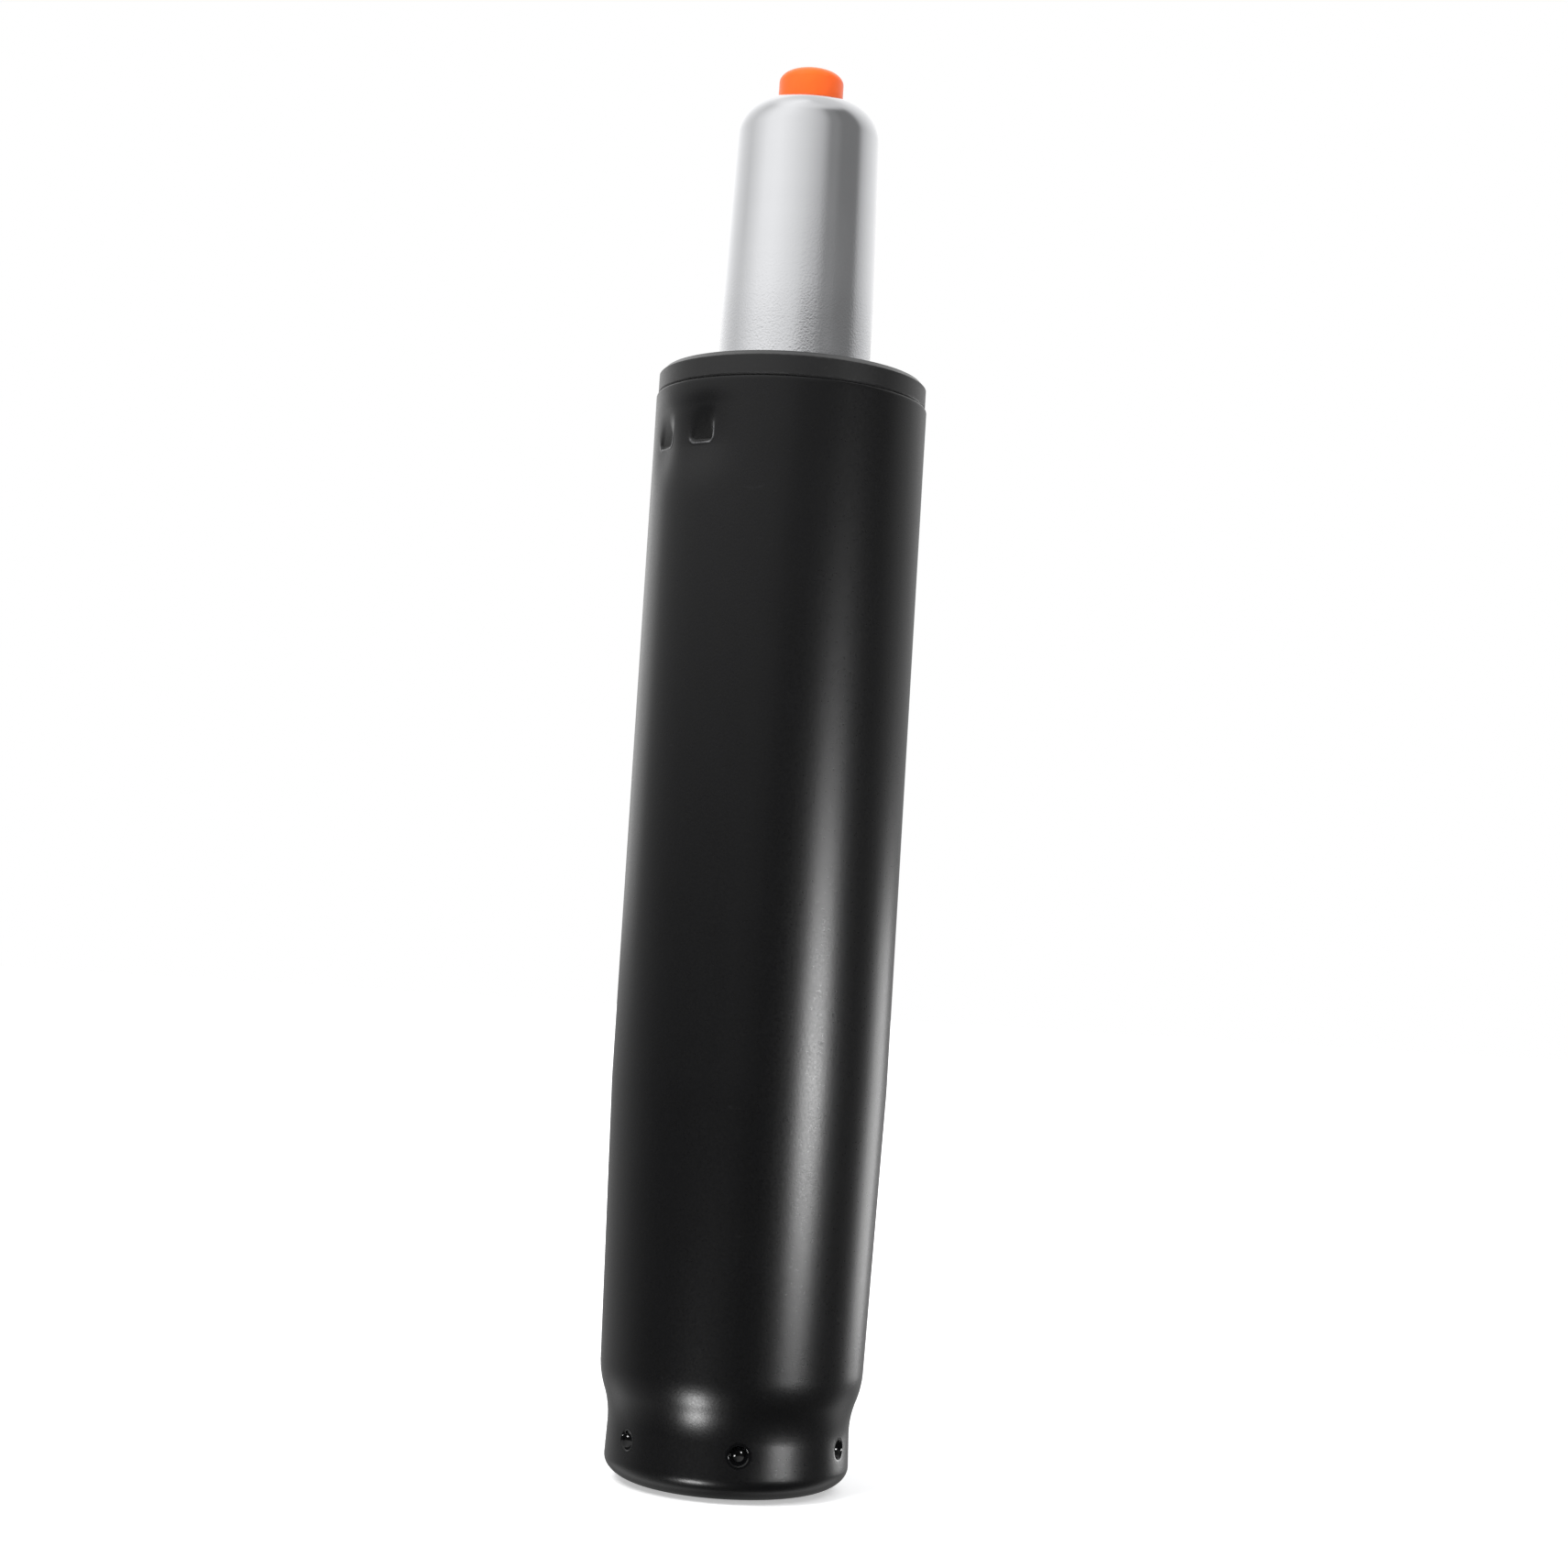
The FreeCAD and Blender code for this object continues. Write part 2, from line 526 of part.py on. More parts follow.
def piston_ring():
    """Seal ring with a crowned face that runs on the inner cylinder."""
    low_z = PISTON_Z + (PISTON_HEIGHT - PISTON_RING_HEIGHT) / 2
    high_z = low_z + PISTON_RING_HEIGHT
    face_r = CYLINDER_BORE_R - 0.02
    side_r = PISTON_R - 0.1
    return turned((PISTON_R - PISTON_RING_DEPTH, low_z), (side_r, low_z),
                  ((face_r, (low_z + high_z) / 2), (side_r, high_z)),
                  (PISTON_R - PISTON_RING_DEPTH, high_z))


def piston_upper_washer():
    return ring(PISTON_STUD_D / 2 + PRESSED, PISTON_WASHER_D / 2, PISTON_TOP_Z, RIVET_Z)


# Pressure tube and the pieces that fill it

def tube_inner_r(z):
    """Inside radius of the pressure tube on its straight and its cone."""
    return TUBE_BORE_R - max(0.0, z - TOP_CONE_Z) * math.tan(TAPER_ANGLE)


def tube_filled(inset):
    """The pressure tube's form, filled, with its whole surface moved in by the inset."""
    crimp_centre = (TUBE_R - TUBE_CRIMP_R, TUBE_Z + TUBE_CRIMP_R)
    crimp_r = max(TUBE_CRIMP_R - inset, 0.2)
    low_z = crimp_centre[1] - crimp_r
    cone_end = (TUBE_R - TOP_CONE_LENGTH * math.tan(TAPER_ANGLE), TOP_CONE_END_Z)
    shoulder_centre = offset(cone_end, inward(-TAPER_ANGLE), TUBE_SHOULDER_R)
    shoulder_r = TUBE_SHOULDER_R - inset
    return turned((0, low_z),
                  (crimp_centre[0], low_z),
                  arc_points(crimp_centre, -crimp_r, math.pi / 2, 0),
                  (TUBE_R - inset, TOP_CONE_Z + inset * math.tan(TAPER_ANGLE / 2)),
                  offset(cone_end, inward(-TAPER_ANGLE), inset),
                  arc_points(shoulder_centre, -shoulder_r, -TAPER_ANGLE, -math.pi / 2),
                  (0, shoulder_centre[1] + shoulder_r))


def pressure_tube():
    tube = tube_filled(0).cut(tube_filled(TUBE_WALL))
    button_hole = Part.makeCylinder(BUTTON_R + BUTTON_GAP, TUBE_SHOULDER_R,
                                    FreeCAD.Vector(0, 0, TUBE_TOP_Z - TUBE_SHOULDER_R + PAST))
    crimp_hole = Part.makeCylinder(TUBE_CRIMP_HOLE_D / 2, TUBE_WALL + 2 * PAST,
                                   FreeCAD.Vector(0, 0, TUBE_Z - PAST))
    return rounded_at(tube.cut([button_hole, crimp_hole]), 0.25, BUTTON_R + BUTTON_GAP, TUBE_TOP_Z)


def rod_guide():
    bevel = TUBE_CRIMP_R - TUBE_WALL + 0.2
    return turned((ROD_R + RUNNING, ROD_GUIDE_Z), (TUBE_FILL_R - bevel, ROD_GUIDE_Z),
                  (TUBE_FILL_R, ROD_GUIDE_Z + bevel), (TUBE_FILL_R, ROD_SEAL_Z),
                  (ROD_R + RUNNING, ROD_SEAL_Z))


def rod_seal():
    """Lip seal: a solid heel below, and two lips above that are pressed apart by the gas."""
    wipe_r = ROD_R + 0.03
    cup_z = ROD_SEAL_Z + ROD_SEAL_HEIGHT * 0.4
    return turned((wipe_r, ROD_SEAL_Z), (TUBE_FILL_R, ROD_SEAL_Z), (TUBE_FILL_R, SEAL_WASHER_Z),
                  (TUBE_FILL_R - ROD_SEAL_LIP, SEAL_WASHER_Z),
                  (TUBE_FILL_R - 2 * ROD_SEAL_LIP, cup_z), (wipe_r + 2 * ROD_SEAL_LIP, cup_z),
                  (wipe_r + ROD_SEAL_LIP, SEAL_WASHER_Z), (wipe_r, SEAL_WASHER_Z))


def seal_washer():
    return ring(ROD_R + REST_GAP, TUBE_FILL_R, SEAL_WASHER_Z, CYLINDER_SEAT_Z)


def cylinder_seat():
    """Disc with a spigot that centres the inner cylinder, notched so that gas passes outside it."""
    bore_r = ROD_R + REST_GAP
    spigot_r = CYLINDER_BORE_R - PRESSED
    seat = turned((bore_r, CYLINDER_SEAT_Z), (TUBE_FILL_R, CYLINDER_SEAT_Z), (TUBE_FILL_R, CYLINDER_Z),
                  (spigot_r, CYLINDER_Z), (spigot_r, SPIGOT_TOP_Z), (bore_r + 1.5, SPIGOT_TOP_Z),
                  (bore_r + 1.5, CYLINDER_Z), (bore_r, CYLINDER_Z))
    notch = Part.makeBox(TUBE_R, CYLINDER_SEAT_PORT_WIDTH, CYLINDER_SEAT_SPIGOT + PAST + 1.5,
                         FreeCAD.Vector(bore_r + 1.5, -CYLINDER_SEAT_PORT_WIDTH / 2, CYLINDER_Z - 1.5))
    return seat.cut(around(notch, CYLINDER_SEAT_PORTS))


def inner_cylinder():
    return ring(CYLINDER_BORE_R, CYLINDER_R, CYLINDER_Z, VALVE_SEAT_Z)


# Valve

def valve_seat():
    """Spigot that closes the inner cylinder, with a bore for the pin and ports to the outside."""
    spigot_r = CYLINDER_BORE_R - PRESSED
    seat = turned((PIN_BORE_R, VALVE_SPIGOT_Z), (spigot_r, VALVE_SPIGOT_Z), (spigot_r, VALVE_SEAT_Z),
                  (CYLINDER_R, VALVE_SEAT_Z), (CYLINDER_R, VALVE_BODY_Z), (PIN_BORE_R, VALVE_BODY_Z))
    port = Part.makeCylinder(VALVE_PORT_D / 2, CYLINDER_R + PAST,
                             FreeCAD.Vector(0, 0, VALVE_SEAT_Z + VALVE_SEAT_HEIGHT / 2), OUT)
    return seat.cut(around(port, VALVE_PORT_COUNT))


def pin_seal_zs():
    """Heights of the two pin seals, above the cavity at the foot of the valve body."""
    first_z = VALVE_BODY_Z + VALVE_CAVITY_DEPTH + PIN_SEAL_PITCH
    return [first_z + number * PIN_SEAL_PITCH for number in range(2)]


def o_ring_zs():
    first_z = VALVE_BODY_Z + (VALVE_BODY_FOOT_HEIGHT - (O_RING_COUNT - 1) * O_RING_PITCH) / 2
    return [first_z + number * O_RING_PITCH for number in range(O_RING_COUNT)]


def valve_body():
    foot_top_z = VALVE_BODY_Z + VALVE_BODY_FOOT_HEIGHT
    foot_r = tube_inner_r(foot_top_z) - PRESSED
    stem_r = tube_inner_r(VALVE_BODY_TOP_Z) - VALVE_BODY_STEP_GAP
    edge = 0.8
    body = turned((PIN_BORE_R, VALVE_BODY_Z), (foot_r, VALVE_BODY_Z), (foot_r, foot_top_z),
                  (stem_r, foot_top_z + (foot_r - stem_r)), (stem_r, VALVE_BODY_TOP_Z - edge),
                  (stem_r - edge, VALVE_BODY_TOP_Z), (PIN_BORE_R, VALVE_BODY_TOP_Z))
    section_r = O_RING_THICKNESS / 2
    grooves = [ring(tube_inner_r(z) - O_RING_THICKNESS, TUBE_R, z - section_r, z + section_r)
               for z in o_ring_zs()]
    cavity = Part.makeCylinder(PIN_R + PIN_SEAL_THICKNESS, VALVE_CAVITY_DEPTH,
                               FreeCAD.Vector(0, 0, VALVE_BODY_Z))
    half = PIN_SEAL_THICKNESS / 2
    seal_grooves = [ring(PIN_R, PIN_R + PIN_SEAL_THICKNESS, z - half, z + half) for z in pin_seal_zs()]
    return body.cut(grooves + seal_grooves + [cavity])


def valve_body_o_rings():
    section_r = O_RING_THICKNESS / 2 - 0.01
    return Part.makeCompound([torus(tube_inner_r(z) - section_r - 0.01, section_r, z) for z in o_ring_zs()])


def pin_seals():
    section_r = (PIN_SEAL_THICKNESS - RUNNING) / 2
    return Part.makeCompound([torus(PIN_R + RUNNING + section_r, section_r, z) for z in pin_seal_zs()])


def valve_pin():
    """Pin pressed into the button, with a waist for the gas and a head that closes the seat."""
    head_top_z = VALVE_SPIGOT_Z - THRUST_GAP
    head_z = head_top_z - PIN_HEAD_HEIGHT
    waist_r = PIN_WAIST_D / 2
    waist_top_z = VALVE_BODY_Z + VALVE_CAVITY_DEPTH / 2
    pin_top_z = BUTTON_FLANGE_Z + BUTTON_SOCKET_DEPTH
    edge = 0.4
    head_r = PIN_HEAD_D / 2
    return turned((0, head_z), (head_r - edge, head_z), (head_r, head_z + edge), (head_r, head_top_z),
                  (waist_r, head_top_z), (waist_r, waist_top_z - (PIN_R - waist_r)), (PIN_R, waist_top_z),
                  (PIN_R, pin_top_z - edge), (PIN_R - edge, pin_top_z), (0, pin_top_z))


# Release button

def release_button():
    flange_r = BUTTON_FLANGE_D / 2
    socket_r = PIN_R + PRESSED
    socket_top_z = BUTTON_FLANGE_Z + BUTTON_SOCKET_DEPTH
    flat_r = BUTTON_R - BUTTON_EDGE_WIDTH
    edge_z = BUTTON_TOP_Z - BUTTON_EDGE_DROP
    edge_via = (flat_r + BUTTON_EDGE_WIDTH * math.sqrt(0.5), edge_z + BUTTON_EDGE_DROP * math.sqrt(0.5))
    return turned((0, socket_top_z), (socket_r, socket_top_z), (socket_r, BUTTON_FLANGE_Z),
                  (flange_r, BUTTON_FLANGE_Z), (flange_r, BUTTON_FLANGE_TOP_Z),
                  (BUTTON_R, BUTTON_FLANGE_TOP_Z), (BUTTON_R, edge_z),
                  (edge_via, (flat_r, BUTTON_TOP_Z)), (0, BUTTON_TOP_Z))


PIECES = [outer_column, guide_bush, bottom_plate, bearing_lower_race, bearing_balls, ball_cage,
          bearing_upper_race, bumper_washer, rubber_bumper, piston_rod, clip_washer, rod_clip,
          piston_lower_washer, piston, piston_ring, piston_upper_washer,
          pressure_tube, rod_guide, rod_seal, seal_washer, cylinder_seat, inner_cylinder,
          valve_seat, valve_body, valve_body_o_rings, pin_seals, valve_pin, release_button]

os.makedirs("parts", exist_ok=True)
for piece in PIECES:
    shape = piece()
    shape.exportStep("parts/" + piece.__name__ + ".step")
    print(piece.__name__, "valid", shape.isValid(), "solids", len(shape.Solids), "volume", round(shape.Volume, 2))
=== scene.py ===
import json
import math

import bpy
import numpy as np
from mathutils import Matrix, Vector


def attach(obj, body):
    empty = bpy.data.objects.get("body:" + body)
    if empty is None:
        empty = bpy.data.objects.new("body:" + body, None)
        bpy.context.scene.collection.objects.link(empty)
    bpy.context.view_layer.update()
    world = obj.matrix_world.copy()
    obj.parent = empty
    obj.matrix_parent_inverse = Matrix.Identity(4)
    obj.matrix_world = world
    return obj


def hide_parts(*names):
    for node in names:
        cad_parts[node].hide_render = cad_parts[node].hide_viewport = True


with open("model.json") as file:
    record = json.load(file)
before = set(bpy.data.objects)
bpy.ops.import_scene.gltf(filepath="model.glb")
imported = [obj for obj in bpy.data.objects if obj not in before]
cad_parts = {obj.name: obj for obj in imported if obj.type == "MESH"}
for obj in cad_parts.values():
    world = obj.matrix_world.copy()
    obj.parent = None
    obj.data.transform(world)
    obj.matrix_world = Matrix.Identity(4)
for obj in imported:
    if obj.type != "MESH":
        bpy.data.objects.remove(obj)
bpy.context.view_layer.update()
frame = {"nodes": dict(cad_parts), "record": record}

# Gas lift cylinder of a swivel chair, lit and photographed in a pale studio.
# Sizes are in millimetres, in the frame of the solids, and meshes are in metres.
MM = 0.001
CORNER_STEP = 0.2               # rows this close to a corner keep it crisp

# Outer column
TAPER = math.atan(0.5 / 19.922)
COLUMN_R = 25.0
COLUMN_WALL = 2.0
COLUMN_TOP = 197.0
COLUMN_TOP_ROUND = 0.5
CONE_TOP = 71.5
CONE_FOOT = 21.3
NECK_DEPTH = 1.958
SWAGE_R = 16.0
FLARE = math.radians(2.0)
FOOT_ROUND = 5.0                # round of the foot's corner, which its inside follows
FOOT_LAND = 2.5
FOOT_LIP_HEIGHT = 4.3           # outside, the foot's edge is part of an ellipse, wider than it is high
FOOT_LIP_WIDTH = 7.6
FOOT_HOLE_ROUND = 0.3

# Dimples punched into the foot
DIMPLE_DEGS = [30.0, 90.0, 150.0, 210.0, 270.0, 330.0]
DIMPLE_Z = 8.6
DIMPLE_MOUTH_R = 1.7
DIMPLE_DEPTH = 1.4
DIMPLE_LIP = 0.24               # rounding between a dimple and the wall
DIMPLE_DISH_DEPTH = 0.12        # shallow dish that the punch draws round a dimple
DIMPLE_DISH_R = 2.6
DIMPLE_GLOSS_REACH = 0.7        # how far the thicker, glossier paint reaches past the mouth
DIMPLE_GLOSS_FADE = 0.5

# Scoops sheared and pushed into the wall under the collar, in two facing pairs
SCOOP_DEGS = [198.0, 224.0, 18.0, 44.0]
SCOOP_Z = 185.5                 # lower, sheared edge
SCOOP_HEIGHT = 6.5
SCOOP_WIDTH = 5.4
SCOOP_DEPTH = 0.75
SCOOP_RAMP_POWER = 1.3
SCOOP_LEAN = 0.6                # how much deeper a scoop is at its right side, and shallower at its left
SCOOP_CORNER_R = 1.0
SCOOP_LIP_START = 0.1           # the wall starts to turn in this far outside the outline
SCOOP_LIP_WIDTH = 0.55
SCOOP_SOFT_FROM = 0.8           # height from which the sides soften
SCOOP_SOFT_LEFT = 1.1           # how much wider the lip gets for each millimetre up
SCOOP_SOFT_RIGHT = 0.6
SCOOP_RIGHT_FROM = 0.4          # where the right side's burr and its rubbed line with painted highlight start, from the middle
SCOOP_RIGHT_FADE = 1.4
SCOOP_BURR = 0.07
SCOOP_BURR_AWAY = 0.22          # middle of the burr, outside the outline
SCOOP_BURR_HEIGHT = 1.6         # height of the burr at the left side
SCOOP_BURR_RISE = 1.8           # how much higher it reaches at the right side
# pale line along the scoops' edges: rubbed paint, painted lighter as the highlight the edges catch
SCOOP_RUB_GLINT_AWAY = 0.12
SCOOP_EDGE_WIDTH = 0.2          # width of the burr and of the rubbed line with its painted highlight
SCOOP_RUB_GLINT_FOOT = 0.4            # how strongly the sheared edge is rubbed and painted pale as a highlight, beside the right side
SCOOP_RUB_GLINT_FOOT_HEIGHT = 1.1
SCOOP_RUB_GLINT_FOOT_FADE = 0.7
SCOOP_RUB_GLINT_RIGHT_HEIGHT = 4.0
SCOOP_RUB_GLINT_RIGHT_FADE = 2.4
SCOOP_DISH_DEPTH = 0.75
SCOOP_DISH_R = 5.2
SCOOP_DISH_UP = 1.4             # the dish reaches further up than down, as shares of its radius
SCOOP_DISH_DOWN = 0.9
SCOOP_DISH_CLEAR = 1.0          # the dish ends this far below the column's top
SCOOP_DISH_FADE = 4.0
INSIDE_SHARE = 0.8              # how much of a punch's depth shows on the inside of the wall

# Guide bush's collar, which keeps its own mesh and has painted highlights along its bevels
COLLAR_R = 24.7
COLLAR_TOP = 201.6
COLLAR_TOP_BEVEL = 0.9
COLLAR_FOOT_BEVEL = 0.4

# Pressure tube
TUBE_R = 14.0
TUBE_WALL = 1.5
TUBE_FOOT = 28.4
TUBE_TOP = 253.6
TUBE_CRIMP_R = 3.0
TUBE_CRIMP_HOLE_R = 8.5
TUBE_SHOULDER_R = 6.8
TUBE_CONE_LENGTH = 32.0
TUBE_STATIONS = 256
TUBE_FLECK_FROM = (185.0, 198.0)    # heights between which the flecks set in
TUBE_FLECK_TO = (203.0, 248.0)      # heights between which they fade
BUTTON_HOLE_R = 6.1
BUTTON_HOLE_ROUND = 0.25

# Release button
BUTTON_R = 6.0
BUTTON_TOP = 260.0
BUTTON_FLAT_R = 2.2
BUTTON_FLAT_ROWS = [2.0, 1.0]
BUTTON_EDGE_DROP = 2.3
BUTTON_FLANGE_R = 7.4
BUTTON_FLANGE_Z = 250.4
BUTTON_FLANGE_TOP = 252.2
BUTTON_SOCKET_R = 2.05
BUTTON_SOCKET_TOP = 256.4
BUTTON_STATIONS = 128
BUTTON_WORN_R = 4.6
BUTTON_WORN_Z = 260.2

# Camera, from the photograph's own perspective, with its place in metres
CAMERA_SPOT = (-0.0486, -0.4934, 0.0916)
CAMERA_YAW = math.radians(5.964)
CAMERA_PITCH = math.radians(4.041)
CAMERA_ROLL = math.radians(3.538)
CAMERA_LENS = 62.19
CAMERA_BEARING = math.radians(-95.6)    # where the camera stands, as an angle about the axis


# Meshes

def make_piece(name, points, faces):
    """Mesh object from points in millimetres and lists of corner numbers, one array for each face size."""
    mesh = bpy.data.meshes.new(name)
    corners = np.concatenate([part.ravel() for part in faces]).astype(np.int32)
    sizes = np.concatenate([np.full(len(part), part.shape[1]) for part in faces])
    starts = np.concatenate([[0], np.cumsum(sizes)[:-1]]).astype(np.int32)
    mesh.vertices.add(len(points))
    mesh.vertices.foreach_set("co", (points * MM).astype(np.float32).ravel())
    mesh.loops.add(len(corners))
    mesh.loops.foreach_set("vertex_index", corners)
    mesh.polygons.add(len(sizes))
    mesh.polygons.foreach_set("loop_start", starts)
    mesh.update(calc_edges=True)
    mesh.shade_smooth()
    piece = bpy.data.objects.new(name, mesh)
    bpy.context.scene.collection.objects.link(piece)
    return piece


def turned_points(r, z, angles):
    """Point (r cos a, r sin a, z) for each row of the profile and each angle a; r may differ along a row."""
    r = np.broadcast_to(r if r.ndim == 2 else r[:, None], (len(z), len(angles)))
    across = np.cos(angles)[None, :]
    along = np.sin(angles)[None, :]
    return np.stack([r * across, r * along, np.broadcast_to(z[:, None], r.shape)], axis=-1)


def ring_faces(rows, columns, closed):
    """Four-cornered faces between neighbouring rows and columns, the last column joined to the first."""
    row = np.arange(rows if closed else rows - 1)[:, None]
    column = np.arange(columns)[None, :]
    row_next = (row + 1) % rows
    column_next = (column + 1) % columns
    corners = [row * columns + column, row * columns + column_next,
               row_next * columns + column_next, row_next * columns + column]
    return np.stack([part.ravel() for part in np.broadcast_arrays(*corners)], axis=-1)


# Column

CONE_FOOT_R = COLUMN_R - (CONE_TOP - CONE_FOOT) * math.tan(TAPER)
SWAGE_ANGLE = math.acos((math.cos(TAPER) + 1 - NECK_DEPTH / SWAGE_R) / 2)
SHOULDER_R = CONE_FOOT_R - SWAGE_R * math.cos(TAPER)
SHOULDER_Z = CONE_FOOT + SWAGE_R * math.sin(TAPER)
ARCS_MEET_Z = SHOULDER_Z - SWAGE_R * math.sin(SWAGE_ANGLE)
NECK_R = SHOULDER_R + 2 * SWAGE_R * math.cos(SWAGE_ANGLE)
NECK_Z = SHOULDER_Z - 2 * SWAGE_R * math.sin(SWAGE_ANGLE)
NECK_END_R = NECK_R - SWAGE_R * math.cos(FLARE)
NECK_END_Z = NECK_Z - SWAGE_R * math.sin(FLARE)
FLARE_END_Z = FOOT_LIP_HEIGHT * (1 + math.sin(FLARE))
FOOT_SIDE_R = NECK_END_R + (NECK_END_Z - FLARE_END_Z) * math.tan(FLARE)
FOOT_R = FOOT_SIDE_R - FOOT_ROUND * math.cos(FLARE)

# Heights of the column's rows as runs of (first, last, count); a later run takes the place of what it spans
OUTSIDE_RUNS = [
    (FLARE_END_Z, COLUMN_TOP - COLUMN_TOP_ROUND, 20),
    (172.0, 196.0, 16),         # dishes of the scoops
    (67.0, 76.0, 5),            # top of the cone
    (FLARE_END_Z, 25.0, 32),    # swaged neck
    (6.3, 10.9, 31),            # dimples
    (184.6, 190.3, 36),         # sheared edges of the scoops
    (190.5, 195.5, 14),         # upper ends of the scoops
]
INSIDE_RUNS = [
    (FOOT_ROUND + 0.6, COLUMN_TOP - 3.0, 12),
    (6.0, 25.0, 14),            # neck and dimples
    (183.0, 194.0, 9),          # scoops
]
ROUND_STATIONS = 168            # stations round the whole column
SCOOP_STATIONS = (7.8, 44)      # degrees to each side of a scoop's middle, and stations between them
DIMPLE_STATIONS = (5.6, 30)


def column_outside_r(z):
    """Outside radius at a height: rounded top, straight barrel, cone, two swaged arcs, flared foot."""
    into_round = np.clip(z - (COLUMN_TOP - COLUMN_TOP_ROUND), 0, COLUMN_TOP_ROUND)
    top = COLUMN_R - COLUMN_TOP_ROUND + np.sqrt(COLUMN_TOP_ROUND ** 2 - into_round ** 2)
    cone = COLUMN_R - (CONE_TOP - z) * math.tan(TAPER)
    shoulder = SHOULDER_R + np.sqrt(np.maximum(SWAGE_R ** 2 - (z - SHOULDER_Z) ** 2, 0))
    neck = NECK_R - np.sqrt(np.maximum(SWAGE_R ** 2 - (z - NECK_Z) ** 2, 0))
    flare = NECK_END_R + (NECK_END_Z - z) * math.tan(FLARE)
    starts = [z >= CONE_TOP, z >= CONE_FOOT, z >= ARCS_MEET_Z, z >= NECK_END_Z]
    return np.select(starts, [top, cone, shoulder, neck], flare)


def soft_max(depth, blend):
    """The larger of depth and nothing, with the corner between them rounded over the blend."""
    rounded = (depth + blend) ** 2 / (4 * blend)
    return np.where(depth > blend, depth, np.where(depth < -blend, 0, rounded))


def smooth(share):
    """Three times the share's square less twice its cube, with the share held between 0 and 1."""
    share = np.clip(share, 0, 1)
    return share * share * (3 - 2 * share)


def fading(distance, end, stretch):
    """1 at first, 0 from the end on, with a smooth change over the stretch before the end."""
    return smooth((end - distance) / stretch)


def ridge(distance, middle, width):
    """Bell curve: e to the minus square of the distance from the middle over the width."""
    return np.exp(-((distance - middle) / width) ** 2)


def across_mm(angles, centre_deg, r):
    """Distance round the wall from a centre line."""
    return ((angles - math.radians(centre_deg) + math.pi) % (2 * math.pi) - math.pi) * r


def dimple_push(angles, z):
    """Depth of the six foot dimples and how far each spot lies in one.

    A dimple is a part of a ball with a rounded lip, and the wall about it sinks in a bell curve.
    """
    push = np.zeros(np.broadcast(angles, z).shape)
    inside = np.zeros(push.shape)
    ball_r = (DIMPLE_MOUTH_R ** 2 + DIMPLE_DEPTH ** 2) / (2 * DIMPLE_DEPTH)
    for degs in DIMPLE_DEGS:
        across = across_mm(angles, degs, NECK_END_R)
        away = np.hypot(across, z - DIMPLE_Z)
        cap = np.sqrt(np.maximum(ball_r ** 2 - away ** 2, 0)) - (ball_r - DIMPLE_DEPTH)
        push += soft_max(cap, DIMPLE_LIP) + DIMPLE_DISH_DEPTH * ridge(away, 0, DIMPLE_DISH_R)
        inside += fading(away, DIMPLE_MOUTH_R + DIMPLE_GLOSS_REACH, DIMPLE_GLOSS_FADE)
    return push, inside


def scoop_outline(across, up):
    """Distance outside a slot that is open upwards and has rounded lower corners, negative inside it."""
    side = np.abs(across) - (SCOOP_WIDTH / 2 - SCOOP_CORNER_R)
    below = SCOOP_CORNER_R - up
    outside = np.hypot(np.maximum(side, 0), np.maximum(below, 0)) - SCOOP_CORNER_R
    return outside + np.minimum(np.maximum(side, below), 0)


def scoop_push(angles, z):
    """Depth of the four scoops, of the dishes they lie in, and of their edges' rubbing and painted highlight.

    A scoop is a ramp, deepest at its sheared lower edge and towards its right side, inside an
    outline whose sides soften upwards. A burr runs along the lower edge and up the right side.
    """
    push = np.zeros(np.broadcast(angles, z).shape)
    rubbed_and_highlit = np.zeros(push.shape)
    dish = np.zeros(push.shape)
    for degs in SCOOP_DEGS:
        across = across_mm(angles, degs, COLUMN_R)
        up = z - SCOOP_Z
        outline = scoop_outline(across, up)
        widening = np.where(across < 0, SCOOP_SOFT_LEFT, SCOOP_SOFT_RIGHT)
        softening = widening * np.clip(up - SCOOP_SOFT_FROM, 0, SCOOP_HEIGHT)
        lip = fading(outline, SCOOP_LIP_START + softening / 2, SCOOP_LIP_WIDTH + softening)
        lean = 1 + SCOOP_LEAN * np.clip(2 * across / SCOOP_WIDTH, -1, 1)
        ramp = np.clip(1 - up / SCOOP_HEIGHT, 0, 1) ** SCOOP_RAMP_POWER
        at_right = smooth((across - SCOOP_RIGHT_FROM) / SCOOP_RIGHT_FADE)
        burr_height = SCOOP_BURR_HEIGHT + SCOOP_BURR_RISE * at_right
        burr = ridge(outline, SCOOP_BURR_AWAY, SCOOP_EDGE_WIDTH) * fading(up, burr_height, SCOOP_BURR_HEIGHT)
        push += SCOOP_DEPTH * ramp * lip * lean - SCOOP_BURR * burr
        # pale edge line, rubbed paint with a painted highlight, along the sheared edge and up the right side
        rub_glint_foot = SCOOP_RUB_GLINT_FOOT * fading(up, SCOOP_RUB_GLINT_FOOT_HEIGHT, SCOOP_RUB_GLINT_FOOT_FADE)
        rub_glint_right = at_right * fading(up, SCOOP_RUB_GLINT_RIGHT_HEIGHT, SCOOP_RUB_GLINT_RIGHT_FADE)
        rubbed_and_highlit += ridge(outline, SCOOP_RUB_GLINT_AWAY, SCOOP_EDGE_WIDTH) * np.maximum(rub_glint_foot, rub_glint_right)
        reach = SCOOP_DISH_R * np.where(up > 0, SCOOP_DISH_UP, SCOOP_DISH_DOWN)
        dish += SCOOP_DISH_DEPTH * ridge(across, 0, SCOOP_DISH_R) * ridge(up, 0, reach)
    return push, dish, rubbed_and_highlit


def merged(runs):
    """Sorted stations of several runs, where a run's stations give way inside the span of a later run."""
    kept = np.array([])
    for first, last, count in runs:
        outside = (kept < first - 1e-6) | (kept > last + 1e-6)
        kept = np.concatenate([kept[outside], np.linspace(first, last, count)])
    return np.sort(kept)


